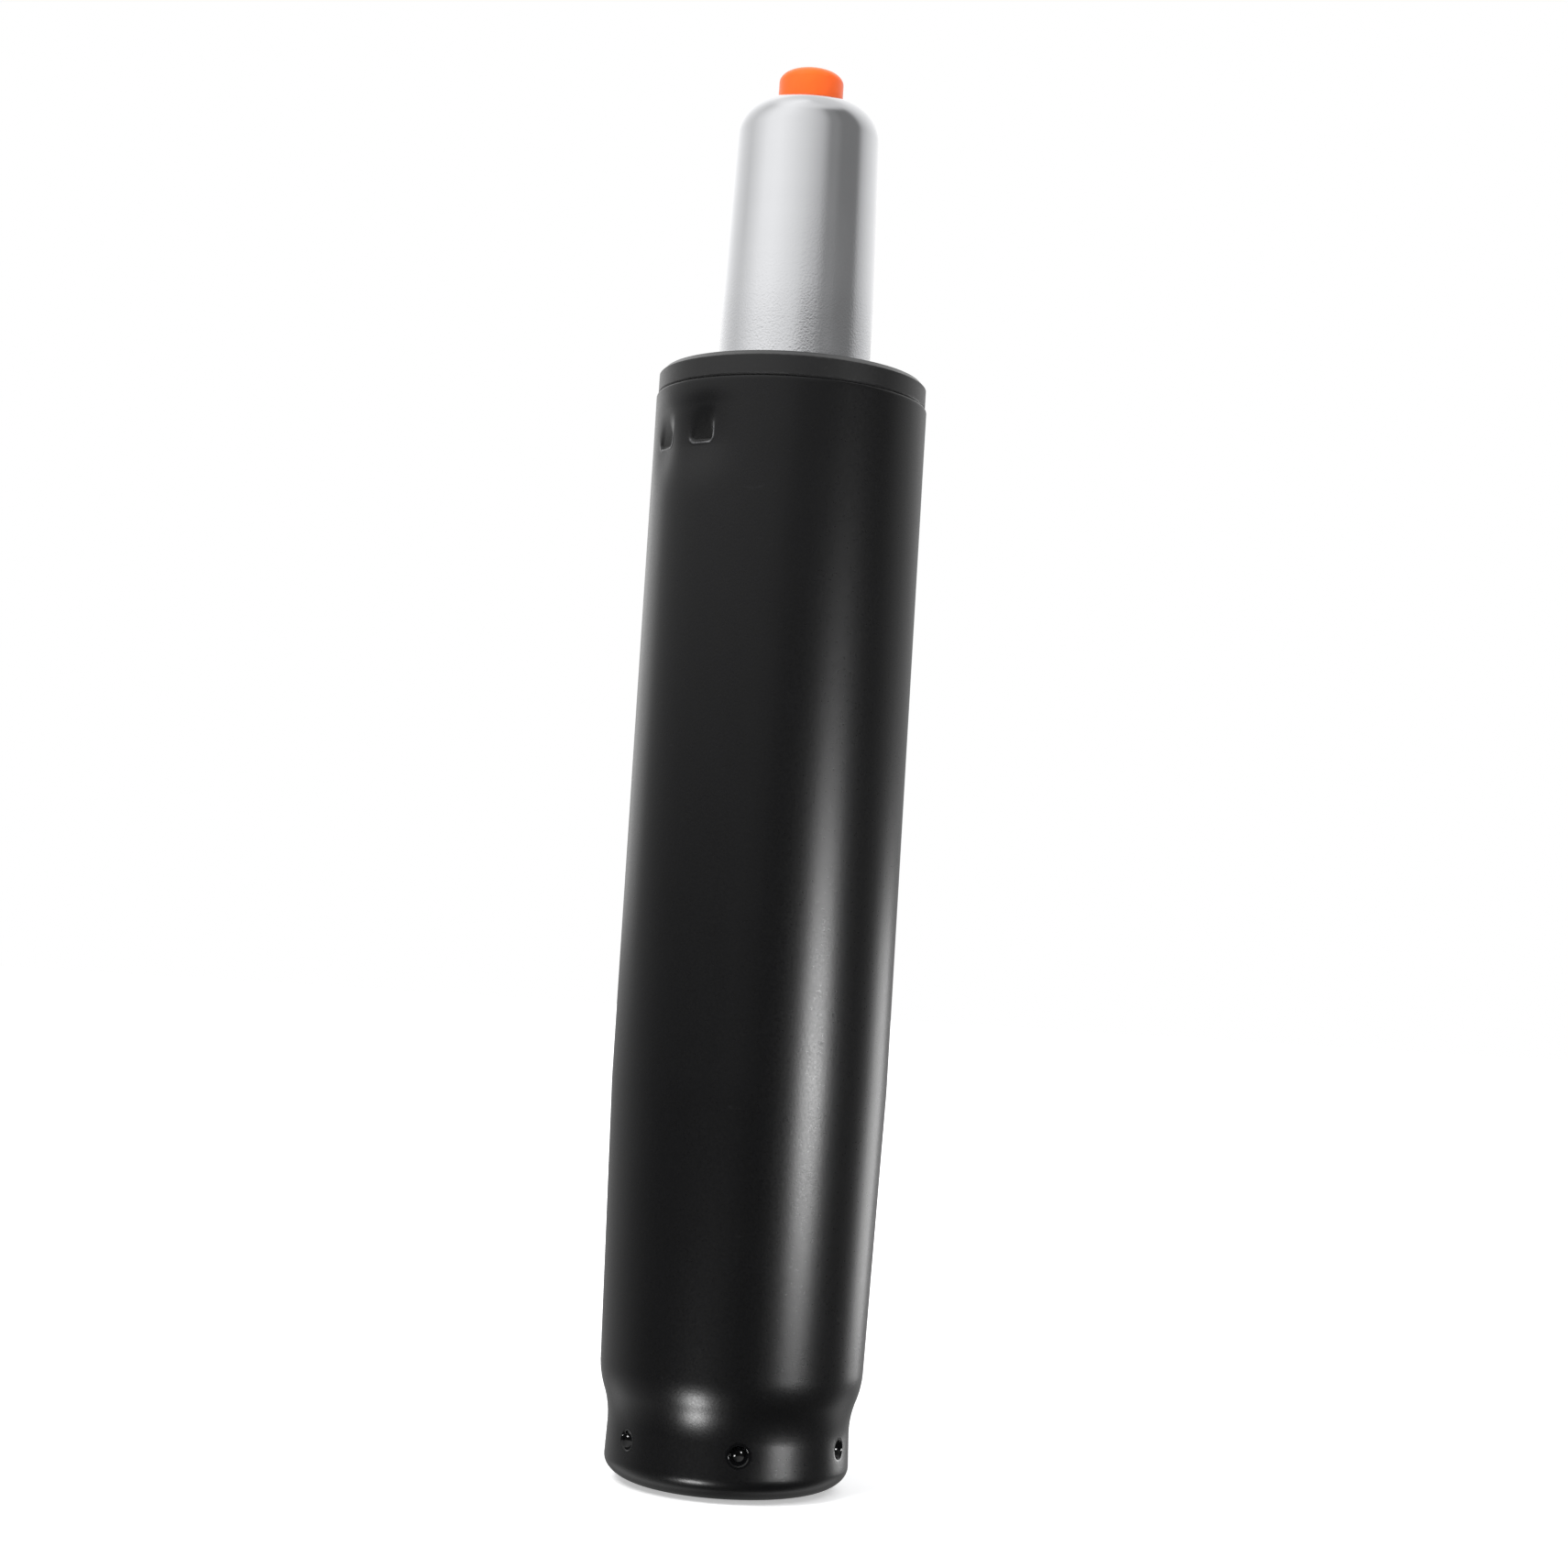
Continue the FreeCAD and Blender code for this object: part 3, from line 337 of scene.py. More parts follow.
def column_angles():
    """Stations round the column, close together across every scoop and dimple."""
    runs = [(0.0, 2 * math.pi * (1 - 1 / ROUND_STATIONS), ROUND_STATIONS)]
    for middles, (reach, count) in ((SCOOP_DEGS, SCOOP_STATIONS), (DIMPLE_DEGS, DIMPLE_STATIONS)):
        for degs in middles:
            runs.append((math.radians(degs - reach), math.radians(degs + reach), count))
    return merged(runs)


def outside_profile():
    """Radii and heights down the outside: rounded top, wall, and a foot's edge that is part of an ellipse."""
    first_turn = 0.12
    turn = np.linspace(first_turn, math.pi / 2, 8)
    z = np.concatenate([merged(OUTSIDE_RUNS), COLUMN_TOP - COLUMN_TOP_ROUND * (1 - np.sin(turn))])[::-1]
    bend = np.linspace(-FLARE, math.pi / 2, 18)[1:]
    foot_r = FOOT_SIDE_R - FOOT_LIP_WIDTH * (1 - np.cos(bend))
    foot_z = FOOT_LIP_HEIGHT * (1 - np.sin(bend))
    return np.concatenate([column_outside_r(z), foot_r]), np.concatenate([z, foot_z])


def foot_profile():
    """Radii and heights round the edge of the foot's hole and up the inside of the foot's round corner."""
    hole_r = FOOT_R - FOOT_LAND
    inner_round = FOOT_ROUND - COLUMN_WALL
    curl = np.linspace(0, math.pi / 2, 5)
    bend = np.linspace(math.pi / 2, -FLARE, 7)
    edge_r = hole_r + FOOT_HOLE_ROUND * (1 - np.sin(curl))
    edge_z = FOOT_HOLE_ROUND * (1 - np.cos(curl))
    corner_r = FOOT_R + inner_round * np.cos(bend)
    corner_z = FOOT_ROUND - inner_round * np.sin(bend)
    return (np.concatenate([edge_r, [hole_r, hole_r + CORNER_STEP], corner_r]),
            np.concatenate([edge_z, [COLUMN_WALL, COLUMN_WALL], corner_z]))


def inside_profile():
    """Radii and heights up the inside: the outside moved in by the wall, at right angles to its slope."""
    z = merged(INSIDE_RUNS)
    near = 0.01
    slope = (column_outside_r(z + near) - column_outside_r(z - near)) / (2 * near)
    length = np.sqrt(1 + slope ** 2)
    return column_outside_r(z) - COLUMN_WALL / length, z + COLUMN_WALL * slope / length


def top_profile():
    """Radii and heights over the flat top, from the bore to the rounded edge."""
    bore_r = COLUMN_R - COLUMN_WALL
    return (np.array([bore_r, bore_r, COLUMN_R - COLUMN_TOP_ROUND - CORNER_STEP / 2]),
            np.array([COLUMN_TOP - CORNER_STEP, COLUMN_TOP, COLUMN_TOP]))


def column_piece():
    """Closed wall of the column: four profiles turned about the axis, pushed in at the dimples and scoops.

    A punch has its whole depth on the outside, most of it on the inside, and none at the foot's hole
    and the top. The scoops' dishes are on the outside alone, and so are the marks for the finish.
    """
    angles = column_angles()
    r, z, share = [], [], []
    for profile, punched in ((outside_profile(), 1.0), (foot_profile(), 0.0),
                             (inside_profile(), INSIDE_SHARE), (top_profile(), 0.0)):
        r.append(profile[0])
        z.append(profile[1])
        share.append(np.full(len(profile[0]), punched))
    r, z, share = np.concatenate(r)[:, None], np.concatenate(z), np.concatenate(share)[:, None]
    on_outside = share == 1.0
    dimples, in_dimple = dimple_push(angles[None, :], z[:, None])
    scoops, scoop_dish, rubbed_and_highlit = scoop_push(angles[None, :], z[:, None])
    settled = fading(z, COLUMN_TOP - SCOOP_DISH_CLEAR, SCOOP_DISH_FADE)[:, None]
    depth = (dimples + scoops) * share + scoop_dish * settled * on_outside
    points = turned_points(r - depth, z, angles)
    piece = make_piece("swaged_column", points.reshape(-1, 3), [ring_faces(len(z), len(angles), True)])
    # the third mark is the scoops' rubbed edges, painted pale as a highlight
    for label, mask in (("scooped", scoops / SCOOP_DEPTH), ("dimpled", in_dimple), ("rubbed_and_highlit", rubbed_and_highlit)):
        values = np.clip(mask, 0, 1) * on_outside
        marks = piece.data.attributes.new(label, "FLOAT", "POINT")
        marks.data.foreach_set("value", values.astype(np.float32).ravel())
    return piece


# Pressure tube and button

def even_angles(count):
    return np.linspace(0, 2 * math.pi, count, endpoint=False)


def tube_piece():
    """Closed wall of the pressure tube, turned about the axis.

    Down the outside the profile has the rounded edge of the button's hole, a quarter round shoulder,
    the cone, the straight barrel and the crimped foot, and the inside follows it one wall further in.
    """
    cone_end_r = TUBE_R - TUBE_CONE_LENGTH * math.tan(TAPER)
    cone_end_z = TUBE_TOP - TUBE_SHOULDER_R * (1 - math.sin(TAPER))
    cone_start_z = cone_end_z - TUBE_CONE_LENGTH
    shoulder_r = cone_end_r - TUBE_SHOULDER_R * math.cos(TAPER)
    shoulder_z = cone_end_z - TUBE_SHOULDER_R * math.sin(TAPER)
    crimp_r = TUBE_R - TUBE_CRIMP_R
    crimp_z = TUBE_FOOT + TUBE_CRIMP_R
    inner_shoulder = TUBE_SHOULDER_R - TUBE_WALL
    inner_crimp = TUBE_CRIMP_R - TUBE_WALL
    rim = np.linspace(0, math.pi / 2, 6)
    over = np.linspace(math.pi / 2, TAPER, 22)
    under = np.linspace(0, -math.pi / 2, 9)
    cone_z = np.linspace(cone_end_z, cone_start_z, 14)[1:-1]
    barrel_z = np.linspace(cone_start_z, crimp_z, 40)
    inner_barrel_z = barrel_z[::-2]
    inner_cone_z = cone_z[::-3]
    runs = [
        (BUTTON_HOLE_R + BUTTON_HOLE_ROUND * (1 - np.cos(rim)),
         TUBE_TOP - BUTTON_HOLE_ROUND * (1 - np.sin(rim))),
        (shoulder_r + TUBE_SHOULDER_R * np.cos(over), shoulder_z + TUBE_SHOULDER_R * np.sin(over)),
        (TUBE_R - (cone_z - cone_start_z) * math.tan(TAPER), cone_z),
        (np.full(len(barrel_z), TUBE_R), barrel_z),
        (crimp_r + TUBE_CRIMP_R * np.cos(under[1:]), crimp_z + TUBE_CRIMP_R * np.sin(under[1:])),
        ([TUBE_CRIMP_HOLE_R, TUBE_CRIMP_HOLE_R], [TUBE_FOOT, TUBE_FOOT + TUBE_WALL]),
        (crimp_r + inner_crimp * np.cos(under[::-2]), crimp_z + inner_crimp * np.sin(under[::-2])),
        (np.full(len(inner_barrel_z), TUBE_R - TUBE_WALL), inner_barrel_z),
        (TUBE_R - TUBE_WALL - (inner_cone_z - cone_start_z) * math.tan(TAPER), inner_cone_z),
        (shoulder_r + inner_shoulder * np.cos(over[::-3]), shoulder_z + inner_shoulder * np.sin(over[::-3])),
        ([BUTTON_HOLE_R], [TUBE_TOP - TUBE_WALL]),
    ]
    r = np.concatenate([run[0] for run in runs])
    z = np.concatenate([run[1] for run in runs])
    angles = even_angles(TUBE_STATIONS)
    points = turned_points(r, z, angles)
    return make_piece("pressure_tube_wall", points.reshape(-1, 3), [ring_faces(len(z), len(angles), True)])


def button_piece():
    """Solid button: a profile turned about the axis and closed by a pole at each end.

    The profile goes from the socket over the flange and up the side to a top edge that is a quarter
    of an ellipse, and on to the flat middle.
    """
    step = CORNER_STEP
    corners = np.array([
        (BUTTON_SOCKET_R - step, BUTTON_SOCKET_TOP), (BUTTON_SOCKET_R, BUTTON_SOCKET_TOP),
        (BUTTON_SOCKET_R, BUTTON_SOCKET_TOP - step), (BUTTON_SOCKET_R, BUTTON_FLANGE_Z),
        (BUTTON_SOCKET_R + step, BUTTON_FLANGE_Z), (BUTTON_FLANGE_R - step, BUTTON_FLANGE_Z),
        (BUTTON_FLANGE_R, BUTTON_FLANGE_Z), (BUTTON_FLANGE_R, BUTTON_FLANGE_TOP),
        (BUTTON_FLANGE_R - step, BUTTON_FLANGE_TOP), (BUTTON_R + step, BUTTON_FLANGE_TOP),
        (BUTTON_R, BUTTON_FLANGE_TOP), (BUTTON_R, BUTTON_FLANGE_TOP + step),
        (BUTTON_R, BUTTON_TOP - BUTTON_EDGE_DROP - 2 * step)])
    roll = np.linspace(0, math.pi / 2, 16)
    edge_r = BUTTON_FLAT_R + (BUTTON_R - BUTTON_FLAT_R) * np.cos(roll)
    edge_z = BUTTON_TOP - BUTTON_EDGE_DROP * (1 - np.sin(roll))
    r = np.concatenate([corners[:, 0], edge_r, BUTTON_FLAT_ROWS])
    z = np.concatenate([corners[:, 1], edge_z, np.full(len(BUTTON_FLAT_ROWS), BUTTON_TOP)])
    angles = even_angles(BUTTON_STATIONS)
    rows = turned_points(r, z, angles).reshape(-1, 3)
    poles = np.array([[0, 0, BUTTON_SOCKET_TOP], [0, 0, BUTTON_TOP]], float)
    first = np.arange(len(angles))
    after = (first + 1) % len(angles)
    last = (len(z) - 1) * len(angles)
    low_pole = np.full(len(angles), len(rows))
    fans = [np.stack([low_pole, after, first], axis=-1),
            np.stack([low_pole + 1, first + last, after + last], axis=-1)]
    return make_piece("release_button_cap", np.concatenate([rows, poles]),
                      [ring_faces(len(z), len(angles), False), np.concatenate(fans)])


# Shader tools

def feed(tree, socket, value):
    """Links another node's socket to an input, or sets a plain value on it."""
    if isinstance(value, bpy.types.NodeSocket):
        tree.links.new(value, socket)
    else:
        socket.default_value = value


def add(tree, kind, values=None, **settings):
    """New node with its settings, and a value or a link for each input that is named."""
    node = tree.nodes.new(kind)
    for key, value in settings.items():
        setattr(node, key, value)
    for key, value in (values or {}).items():
        feed(tree, node.inputs[key], value)
    return node


def math_node(tree, operation, *values):
    return add(tree, "ShaderNodeMath", dict(enumerate(values)), operation=operation).outputs[0]


def ramp_between(tree, value, low, high, at_low=0.0, at_high=1.0):
    """Smooth change from at_low to at_high while the value goes from low to high."""
    node = add(tree, "ShaderNodeMapRange", {0: value, 1: low, 2: high, 3: at_low, 4: at_high},
               interpolation_type="SMOOTHSTEP")
    return node.outputs[0]


def blended(tree, share, first, second):
    """Colour between two colours, each a triple or a socket."""
    mix = add(tree, "ShaderNodeMix", {"Factor": share}, data_type="RGBA")
    for socket, colour in ((mix.inputs[6], first), (mix.inputs[7], second)):
        feed(tree, socket, (*colour, 1.0) if isinstance(colour, tuple) else colour)
    return mix.outputs[2]


def bumped(tree, height, distance, strength=1.0, under=None):
    """Normal of a surface that rises with the height, over another normal where one is given."""
    values = {"Height": height, "Distance": distance, "Strength": strength}
    if under:
        values["Normal"] = under
    return add(tree, "ShaderNodeBump", values).outputs[0]


def squeezed_noise(tree, position, lengths, scale, detail, roughness):
    """Noise over positions whose coordinates are first multiplied by three lengths."""
    squeezed = add(tree, "ShaderNodeVectorMath", {0: position, 1: lengths.outputs[0]}, operation="MULTIPLY")
    noise = add(tree, "ShaderNodeTexNoise", {"Vector": squeezed.outputs[0], "Scale": scale, "Detail": detail,
                                             "Roughness": roughness})
    return noise.outputs[0]


# Effects that several finishes share

def new_group(name, inputs, outputs):
    """Empty node group with float inputs, or a vector where no value is given, and float outputs."""
    tree = bpy.data.node_groups.new(name, "ShaderNodeTree")
    for label, value in inputs.items():
        kind = "NodeSocketVector" if value is None else "NodeSocketFloat"
        socket = tree.interface.new_socket(label, in_out="INPUT", socket_type=kind)
        if value is not None:
            socket.default_value = value
    for label in outputs:
        tree.interface.new_socket(label, in_out="OUTPUT", socket_type="NodeSocketFloat")
    return tree, add(tree, "NodeGroupInput"), add(tree, "NodeGroupOutput")


def grain_group():
    """Even grain of a coat or a moulding: noise of one size, stretched along the axis."""
    inputs = {"Position": None, "Size": 0.0004, "Stretch": 1.0}
    tree, given, result = new_group("surface_grain", inputs, ["Height"])
    scale = math_node(tree, "DIVIDE", 1.0, given.outputs["Size"])
    along = math_node(tree, "DIVIDE", 1.0, given.outputs["Stretch"])
    lengths = add(tree, "ShaderNodeCombineXYZ", {0: 1.0, 1: 1.0, 2: along})
    noise = squeezed_noise(tree, given.outputs["Position"], lengths, scale, 2.0, 0.5)
    tree.links.new(noise, result.inputs["Height"])
    return tree


def rings_group():
    """Marks of turning or grinding: fine lines round the axis, uneven along it and broken round it."""
    inputs = {"Position": None, "Pitch": 0.0002, "Break": 0.02}
    tree, given, result = new_group("grinding_rings", inputs, ["Height"])
    scale = math_node(tree, "DIVIDE", 1.0, given.outputs["Pitch"])
    shrink = math_node(tree, "DIVIDE", given.outputs["Pitch"], given.outputs["Break"])
    lengths = add(tree, "ShaderNodeCombineXYZ", {0: shrink, 1: shrink, 2: 1.0})
    noise = squeezed_noise(tree, given.outputs["Position"], lengths, scale, 3.0, 0.6)
    tree.links.new(noise, result.inputs["Height"])
    return tree


def marks_group():
    """Sparse handling marks: short scuffs and specks, from noise that passes a high level."""
    inputs = {"Position": None, "Size": 0.004, "Level": 0.66}
    tree, given, result = new_group("handling_marks", inputs, ["Mask"])
    scale = math_node(tree, "DIVIDE", 1.0, given.outputs["Size"])
    slanted = add(tree, "ShaderNodeMapping", {"Vector": given.outputs["Position"],
                                              "Rotation": (0.5, 0.3, 0.8), "Scale": (1.0, 0.35, 2.2)})
    noise = add(tree, "ShaderNodeTexNoise", {"Vector": slanted.outputs[0], "Scale": scale, "Detail": 5.0,
                                             "Roughness": 0.7})
    full = math_node(tree, "ADD", given.outputs["Level"], 0.08)
    mask = add(tree, "ShaderNodeMapRange", {0: noise.outputs[0], 1: given.outputs["Level"], 2: full})
    tree.links.new(mask.outputs[0], result.inputs["Mask"])
    return tree


def edge_group():
    """Pale edge ring, for wear and for painted highlights, at a given radius and height, fading over a width
    that noise breaks up a little.
    """
    inputs = {"Position": None, "Radius": 0.025, "Height": 0.2, "Width": 0.0008}
    tree, given, result = new_group("worn_and_highlit_edge", inputs, ["Mask"])
    parts = add(tree, "ShaderNodeSeparateXYZ", {0: given.outputs["Position"]})
    flat = add(tree, "ShaderNodeCombineXYZ", {0: parts.outputs[0], 1: parts.outputs[1]})
    r = add(tree, "ShaderNodeVectorMath", {0: flat.outputs[0]}, operation="LENGTH")
    off_r = math_node(tree, "SUBTRACT", r.outputs["Value"], given.outputs["Radius"])
    off_z = math_node(tree, "SUBTRACT", parts.outputs[2], given.outputs["Height"])
    away = add(tree, "ShaderNodeCombineXYZ", {0: off_r, 1: off_z})
    length = add(tree, "ShaderNodeVectorMath", {0: away.outputs[0]}, operation="LENGTH")
    noise = add(tree, "ShaderNodeTexNoise", {"Vector": given.outputs["Position"], "Scale": 900.0,
                                             "Detail": 3.0})
    width = math_node(tree, "MULTIPLY", given.outputs["Width"], math_node(tree, "ADD", noise.outputs[0], 0.5))
    tree.links.new(ramp_between(tree, length.outputs["Value"], 0.0, width, 1.0, 0.0), result.inputs["Mask"])
    return tree


GRAIN = grain_group()
RINGS = rings_group()
MARKS = marks_group()
EDGE_WEAR_AND_HIGHLIGHT = edge_group()


def placed(tree, group, values):
    """Result of a group, placed in a material with its own values."""
    return add(tree, "ShaderNodeGroup", values, node_tree=group).outputs[0]


# Finishes

def new_finish(name, **constants):
    """Material with its shader, output and Object coordinates; constants go to the shader's own sockets."""
    material = bpy.data.materials.new(name)
    material.use_nodes = True
    tree = material.node_tree
    tree.nodes.clear()
    shader = add(tree, "ShaderNodeBsdfPrincipled",
                 {key.replace("_", " "): value for key, value in constants.items()})
    add(tree, "ShaderNodeOutputMaterial", {"Surface": shader.outputs[0]})
    place = add(tree, "ShaderNodeTexCoord").outputs["Object"]
    return material, tree, shader, place


def black_powder_coat():
    """Satin black coat: fine orange peel, slow waves and faint scuffs.

    The paint is glossier in the dimples and dusty in the scoops, whose rubbed edges show bare steel,
    painted pale as a highlight too.
    """
    material, tree, shader, place = new_finish("black_powder_coat", Specular_IOR_Level=0.33)
    peel = placed(tree, GRAIN, {"Position": place, "Size": 0.00042})
    waves = placed(tree, GRAIN, {"Position": place, "Size": 0.006, "Stretch": 2.0})
    scuffs = placed(tree, MARKS, {"Position": place, "Size": 0.009, "Level": 0.69})
    scooped = add(tree, "ShaderNodeAttribute", attribute_name="scooped").outputs["Fac"]
    dimpled = add(tree, "ShaderNodeAttribute", attribute_name="dimpled").outputs["Fac"]
    rubbed_and_highlit = add(tree, "ShaderNodeAttribute", attribute_name="rubbed_and_highlit").outputs["Fac"]
    chips = placed(tree, GRAIN, {"Position": place, "Size": 0.0009})
    black = blended(tree, waves, (0.0015, 0.0015, 0.0018), (0.0026, 0.0026, 0.0030))
    scuffed = blended(tree, math_node(tree, "MULTIPLY", scuffs, 0.35), black, (0.02, 0.02, 0.021))
    dusty = blended(tree, math_node(tree, "MULTIPLY", scooped, 0.9), scuffed, (0.013, 0.013, 0.0125))
    # painted highlight: the scoops' rubbed edges are painted pale grey for the glint they catch
    bare_and_highlit = math_node(tree, "MULTIPLY", rubbed_and_highlit, ramp_between(tree, chips, 0.3, 0.65, 0.35, 1.0))
    tree.links.new(blended(tree, bare_and_highlit, dusty, (0.2, 0.2, 0.205)), shader.inputs["Base Color"])
    rough = ramp_between(tree, peel, 0.2, 0.8, 0.27, 0.33)
    rough = math_node(tree, "ADD", rough, math_node(tree, "MULTIPLY", scuffs, 0.1))
    rough = math_node(tree, "SUBTRACT", rough, math_node(tree, "MULTIPLY", dimpled, 0.215))
    tree.links.new(rough, shader.inputs["Roughness"])
    slow = bumped(tree, waves, 0.00003, 0.5)
    smoothed = math_node(tree, "MULTIPLY", peel, math_node(tree, "SUBTRACT", 1.0, dimpled))
    tree.links.new(bumped(tree, smoothed, 0.000012, 0.7, slow), shader.inputs["Normal"])
    return material


def black_moulding():
    """Matt black moulding: fine grain, faint flow lines, and painted highlights on the collar's bevels."""
    material, tree, shader, place = new_finish("black_moulding", Specular_IOR_Level=0.5)
    grain = placed(tree, GRAIN, {"Position": place, "Size": 0.00025})
    flow = placed(tree, RINGS, {"Position": place, "Pitch": 0.0005, "Break": 0.03})
    rim_r, rim_z = COLLAR_R - COLLAR_TOP_BEVEL / 2, COLLAR_TOP - COLLAR_TOP_BEVEL / 2
    foot_r, foot_z = COLLAR_R - COLLAR_FOOT_BEVEL / 2, COLUMN_TOP + COLLAR_FOOT_BEVEL / 2
    # painted highlight: pale lines along the collar's top and foot bevels
    rim = placed(tree, EDGE_WEAR_AND_HIGHLIGHT, {"Position": place, "Radius": rim_r * MM, "Height": rim_z * MM,
                                "Width": COLLAR_TOP_BEVEL * MM})
    foot = placed(tree, EDGE_WEAR_AND_HIGHLIGHT, {"Position": place, "Radius": foot_r * MM, "Height": foot_z * MM,
                                 "Width": COLLAR_FOOT_BEVEL * MM})
    scuffs = placed(tree, MARKS, {"Position": place, "Size": 0.003, "Level": 0.64})
    black = blended(tree, grain, (0.0034, 0.0034, 0.0036), (0.0058, 0.0058, 0.0060))
    rim = math_node(tree, "MULTIPLY", rim, 0.5)
    foot = math_node(tree, "MULTIPLY", foot, 0.6)
    # pale marks: the bevels' painted highlight, and scuffs
    highlit_and_scuffed = math_node(tree, "MAXIMUM", rim, foot)
    highlit_and_scuffed = math_node(tree, "MAXIMUM", highlit_and_scuffed, math_node(tree, "MULTIPLY", scuffs, 0.3))
    tree.links.new(blended(tree, highlit_and_scuffed, black, (0.06, 0.06, 0.06)), shader.inputs["Base Color"])
    tree.links.new(ramp_between(tree, grain, 0.2, 0.8, 0.31, 0.41), shader.inputs["Roughness"])
    lines = bumped(tree, flow, 0.000006, 0.6)
    tree.links.new(bumped(tree, grain, 0.000012, 0.7, lines), shader.inputs["Normal"])
    return material


def ground_steel():
    """Ground steel: fine lines round the tube, slow cloudy patches, and frosted flecks above the collar."""
    material, tree, shader, place = new_finish("ground_steel", Metallic=1.0)
    lines = placed(tree, RINGS, {"Position": place, "Pitch": 0.00012, "Break": 0.012})
    fleck = placed(tree, GRAIN, {"Position": place, "Size": 0.0004})
    clouds = placed(tree, GRAIN, {"Position": place, "Size": 0.009, "Stretch": 2.5})
    bands = placed(tree, RINGS, {"Position": place, "Pitch": 0.0035, "Break": 0.4})
    height = add(tree, "ShaderNodeSeparateXYZ", {0: place}).outputs[2]
    steel = blended(tree, clouds, (0.64, 0.645, 0.66), (0.71, 0.715, 0.73))
    steel = blended(tree, math_node(tree, "MULTIPLY", bands, 0.35), steel, (0.6, 0.605, 0.62))
    tree.links.new(steel, shader.inputs["Base Color"])
    tree.links.new(ramp_between(tree, clouds, 0.3, 0.7, 0.15, 0.2), shader.inputs["Roughness"])
    setting_in = ramp_between(tree, height, TUBE_FLECK_FROM[0] * MM, TUBE_FLECK_FROM[1] * MM, 0.15, 1.0)
    fading_out = ramp_between(tree, height, TUBE_FLECK_TO[0] * MM, TUBE_FLECK_TO[1] * MM, 1.0, 0.05)
    flecked = math_node(tree, "MULTIPLY", fleck, math_node(tree, "MULTIPLY", fading_out, setting_in))
    ground = bumped(tree, lines, 0.000003, 0.6)
    tree.links.new(bumped(tree, flecked, 0.000034, 0.9, ground), shader.inputs["Normal"])
    return material


def orange_plastic():
    """Satin orange moulding: faint mottling, fine grain and a slightly paler ring round its top."""
    material, tree, shader, place = new_finish("orange_plastic", Specular_IOR_Level=0.55)
    grain = placed(tree, GRAIN, {"Position": place, "Size": 0.00018})
    mottle = placed(tree, GRAIN, {"Position": place, "Size": 0.0025})
    rim = placed(tree, EDGE_WEAR_AND_HIGHLIGHT, {"Position": place, "Radius": BUTTON_WORN_R * MM, "Height": BUTTON_WORN_Z * MM,
                                "Width": 0.0016})
    orange = blended(tree, mottle, (0.93, 0.112, 0.003), (1.0, 0.135, 0.007))
    pale = blended(tree, math_node(tree, "MULTIPLY", rim, 0.25), orange, (1.0, 0.25, 0.08))
    tree.links.new(pale, shader.inputs["Base Color"])
    tree.links.new(ramp_between(tree, grain, 0.2, 0.8, 0.32, 0.42), shader.inputs["Roughness"])
    tree.links.new(bumped(tree, grain, 0.000008, 0.6), shader.inputs["Normal"])
    return material


def turned_metal(name, light, dark, rough, pitch=0.00015):
    """Turned or rolled metal: fine lines round the axis, patches of slightly darker skin, dark scuffs."""
    material, tree, shader, place = new_finish(name, Metallic=1.0)
    lines = placed(tree, RINGS, {"Position": place, "Pitch": pitch, "Break": 0.02})
    skin = placed(tree, GRAIN, {"Position": place, "Size": 0.002})
    scuffs = placed(tree, MARKS, {"Position": place, "Size": 0.003, "Level": 0.62})
    colour = blended(tree, skin, dark, light)
    colour = blended(tree, math_node(tree, "MULTIPLY", scuffs, 0.5), colour, dark)
    tree.links.new(colour, shader.inputs["Base Color"])
    roughness = ramp_between(tree, skin, 0.3, 0.7, rough - 0.05, rough + 0.06)
    tree.links.new(roughness, shader.inputs["Roughness"])
    tree.links.new(bumped(tree, lines, 0.000006, 0.6), shader.inputs["Normal"])
    return material


def moulded(name, light, dark, rough, grain_size=0.0003, depth=0.000015):
    """Moulded plastic or rubber: fine grain, slow mottling and dusty specks."""
    material, tree, shader, place = new_finish(name, Specular_IOR_Level=0.4)
    grain = placed(tree, GRAIN, {"Position": place, "Size": grain_size})
    mottle = placed(tree, GRAIN, {"Position": place, "Size": 0.003})
    specks = placed(tree, MARKS, {"Position": place, "Size": 0.0015, "Level": 0.68})
    colour = blended(tree, mottle, dark, light)
    dust = tuple(0.6 * level + 0.1 for level in light)
    colour = blended(tree, math_node(tree, "MULTIPLY", specks, 0.3), colour, dust)
    tree.links.new(colour, shader.inputs["Base Color"])
    roughness = ramp_between(tree, grain, 0.2, 0.8, rough - 0.06, rough + 0.06)
    tree.links.new(roughness, shader.inputs["Roughness"])
    tree.links.new(bumped(tree, grain, depth, 0.7), shader.inputs["Normal"])
    return material


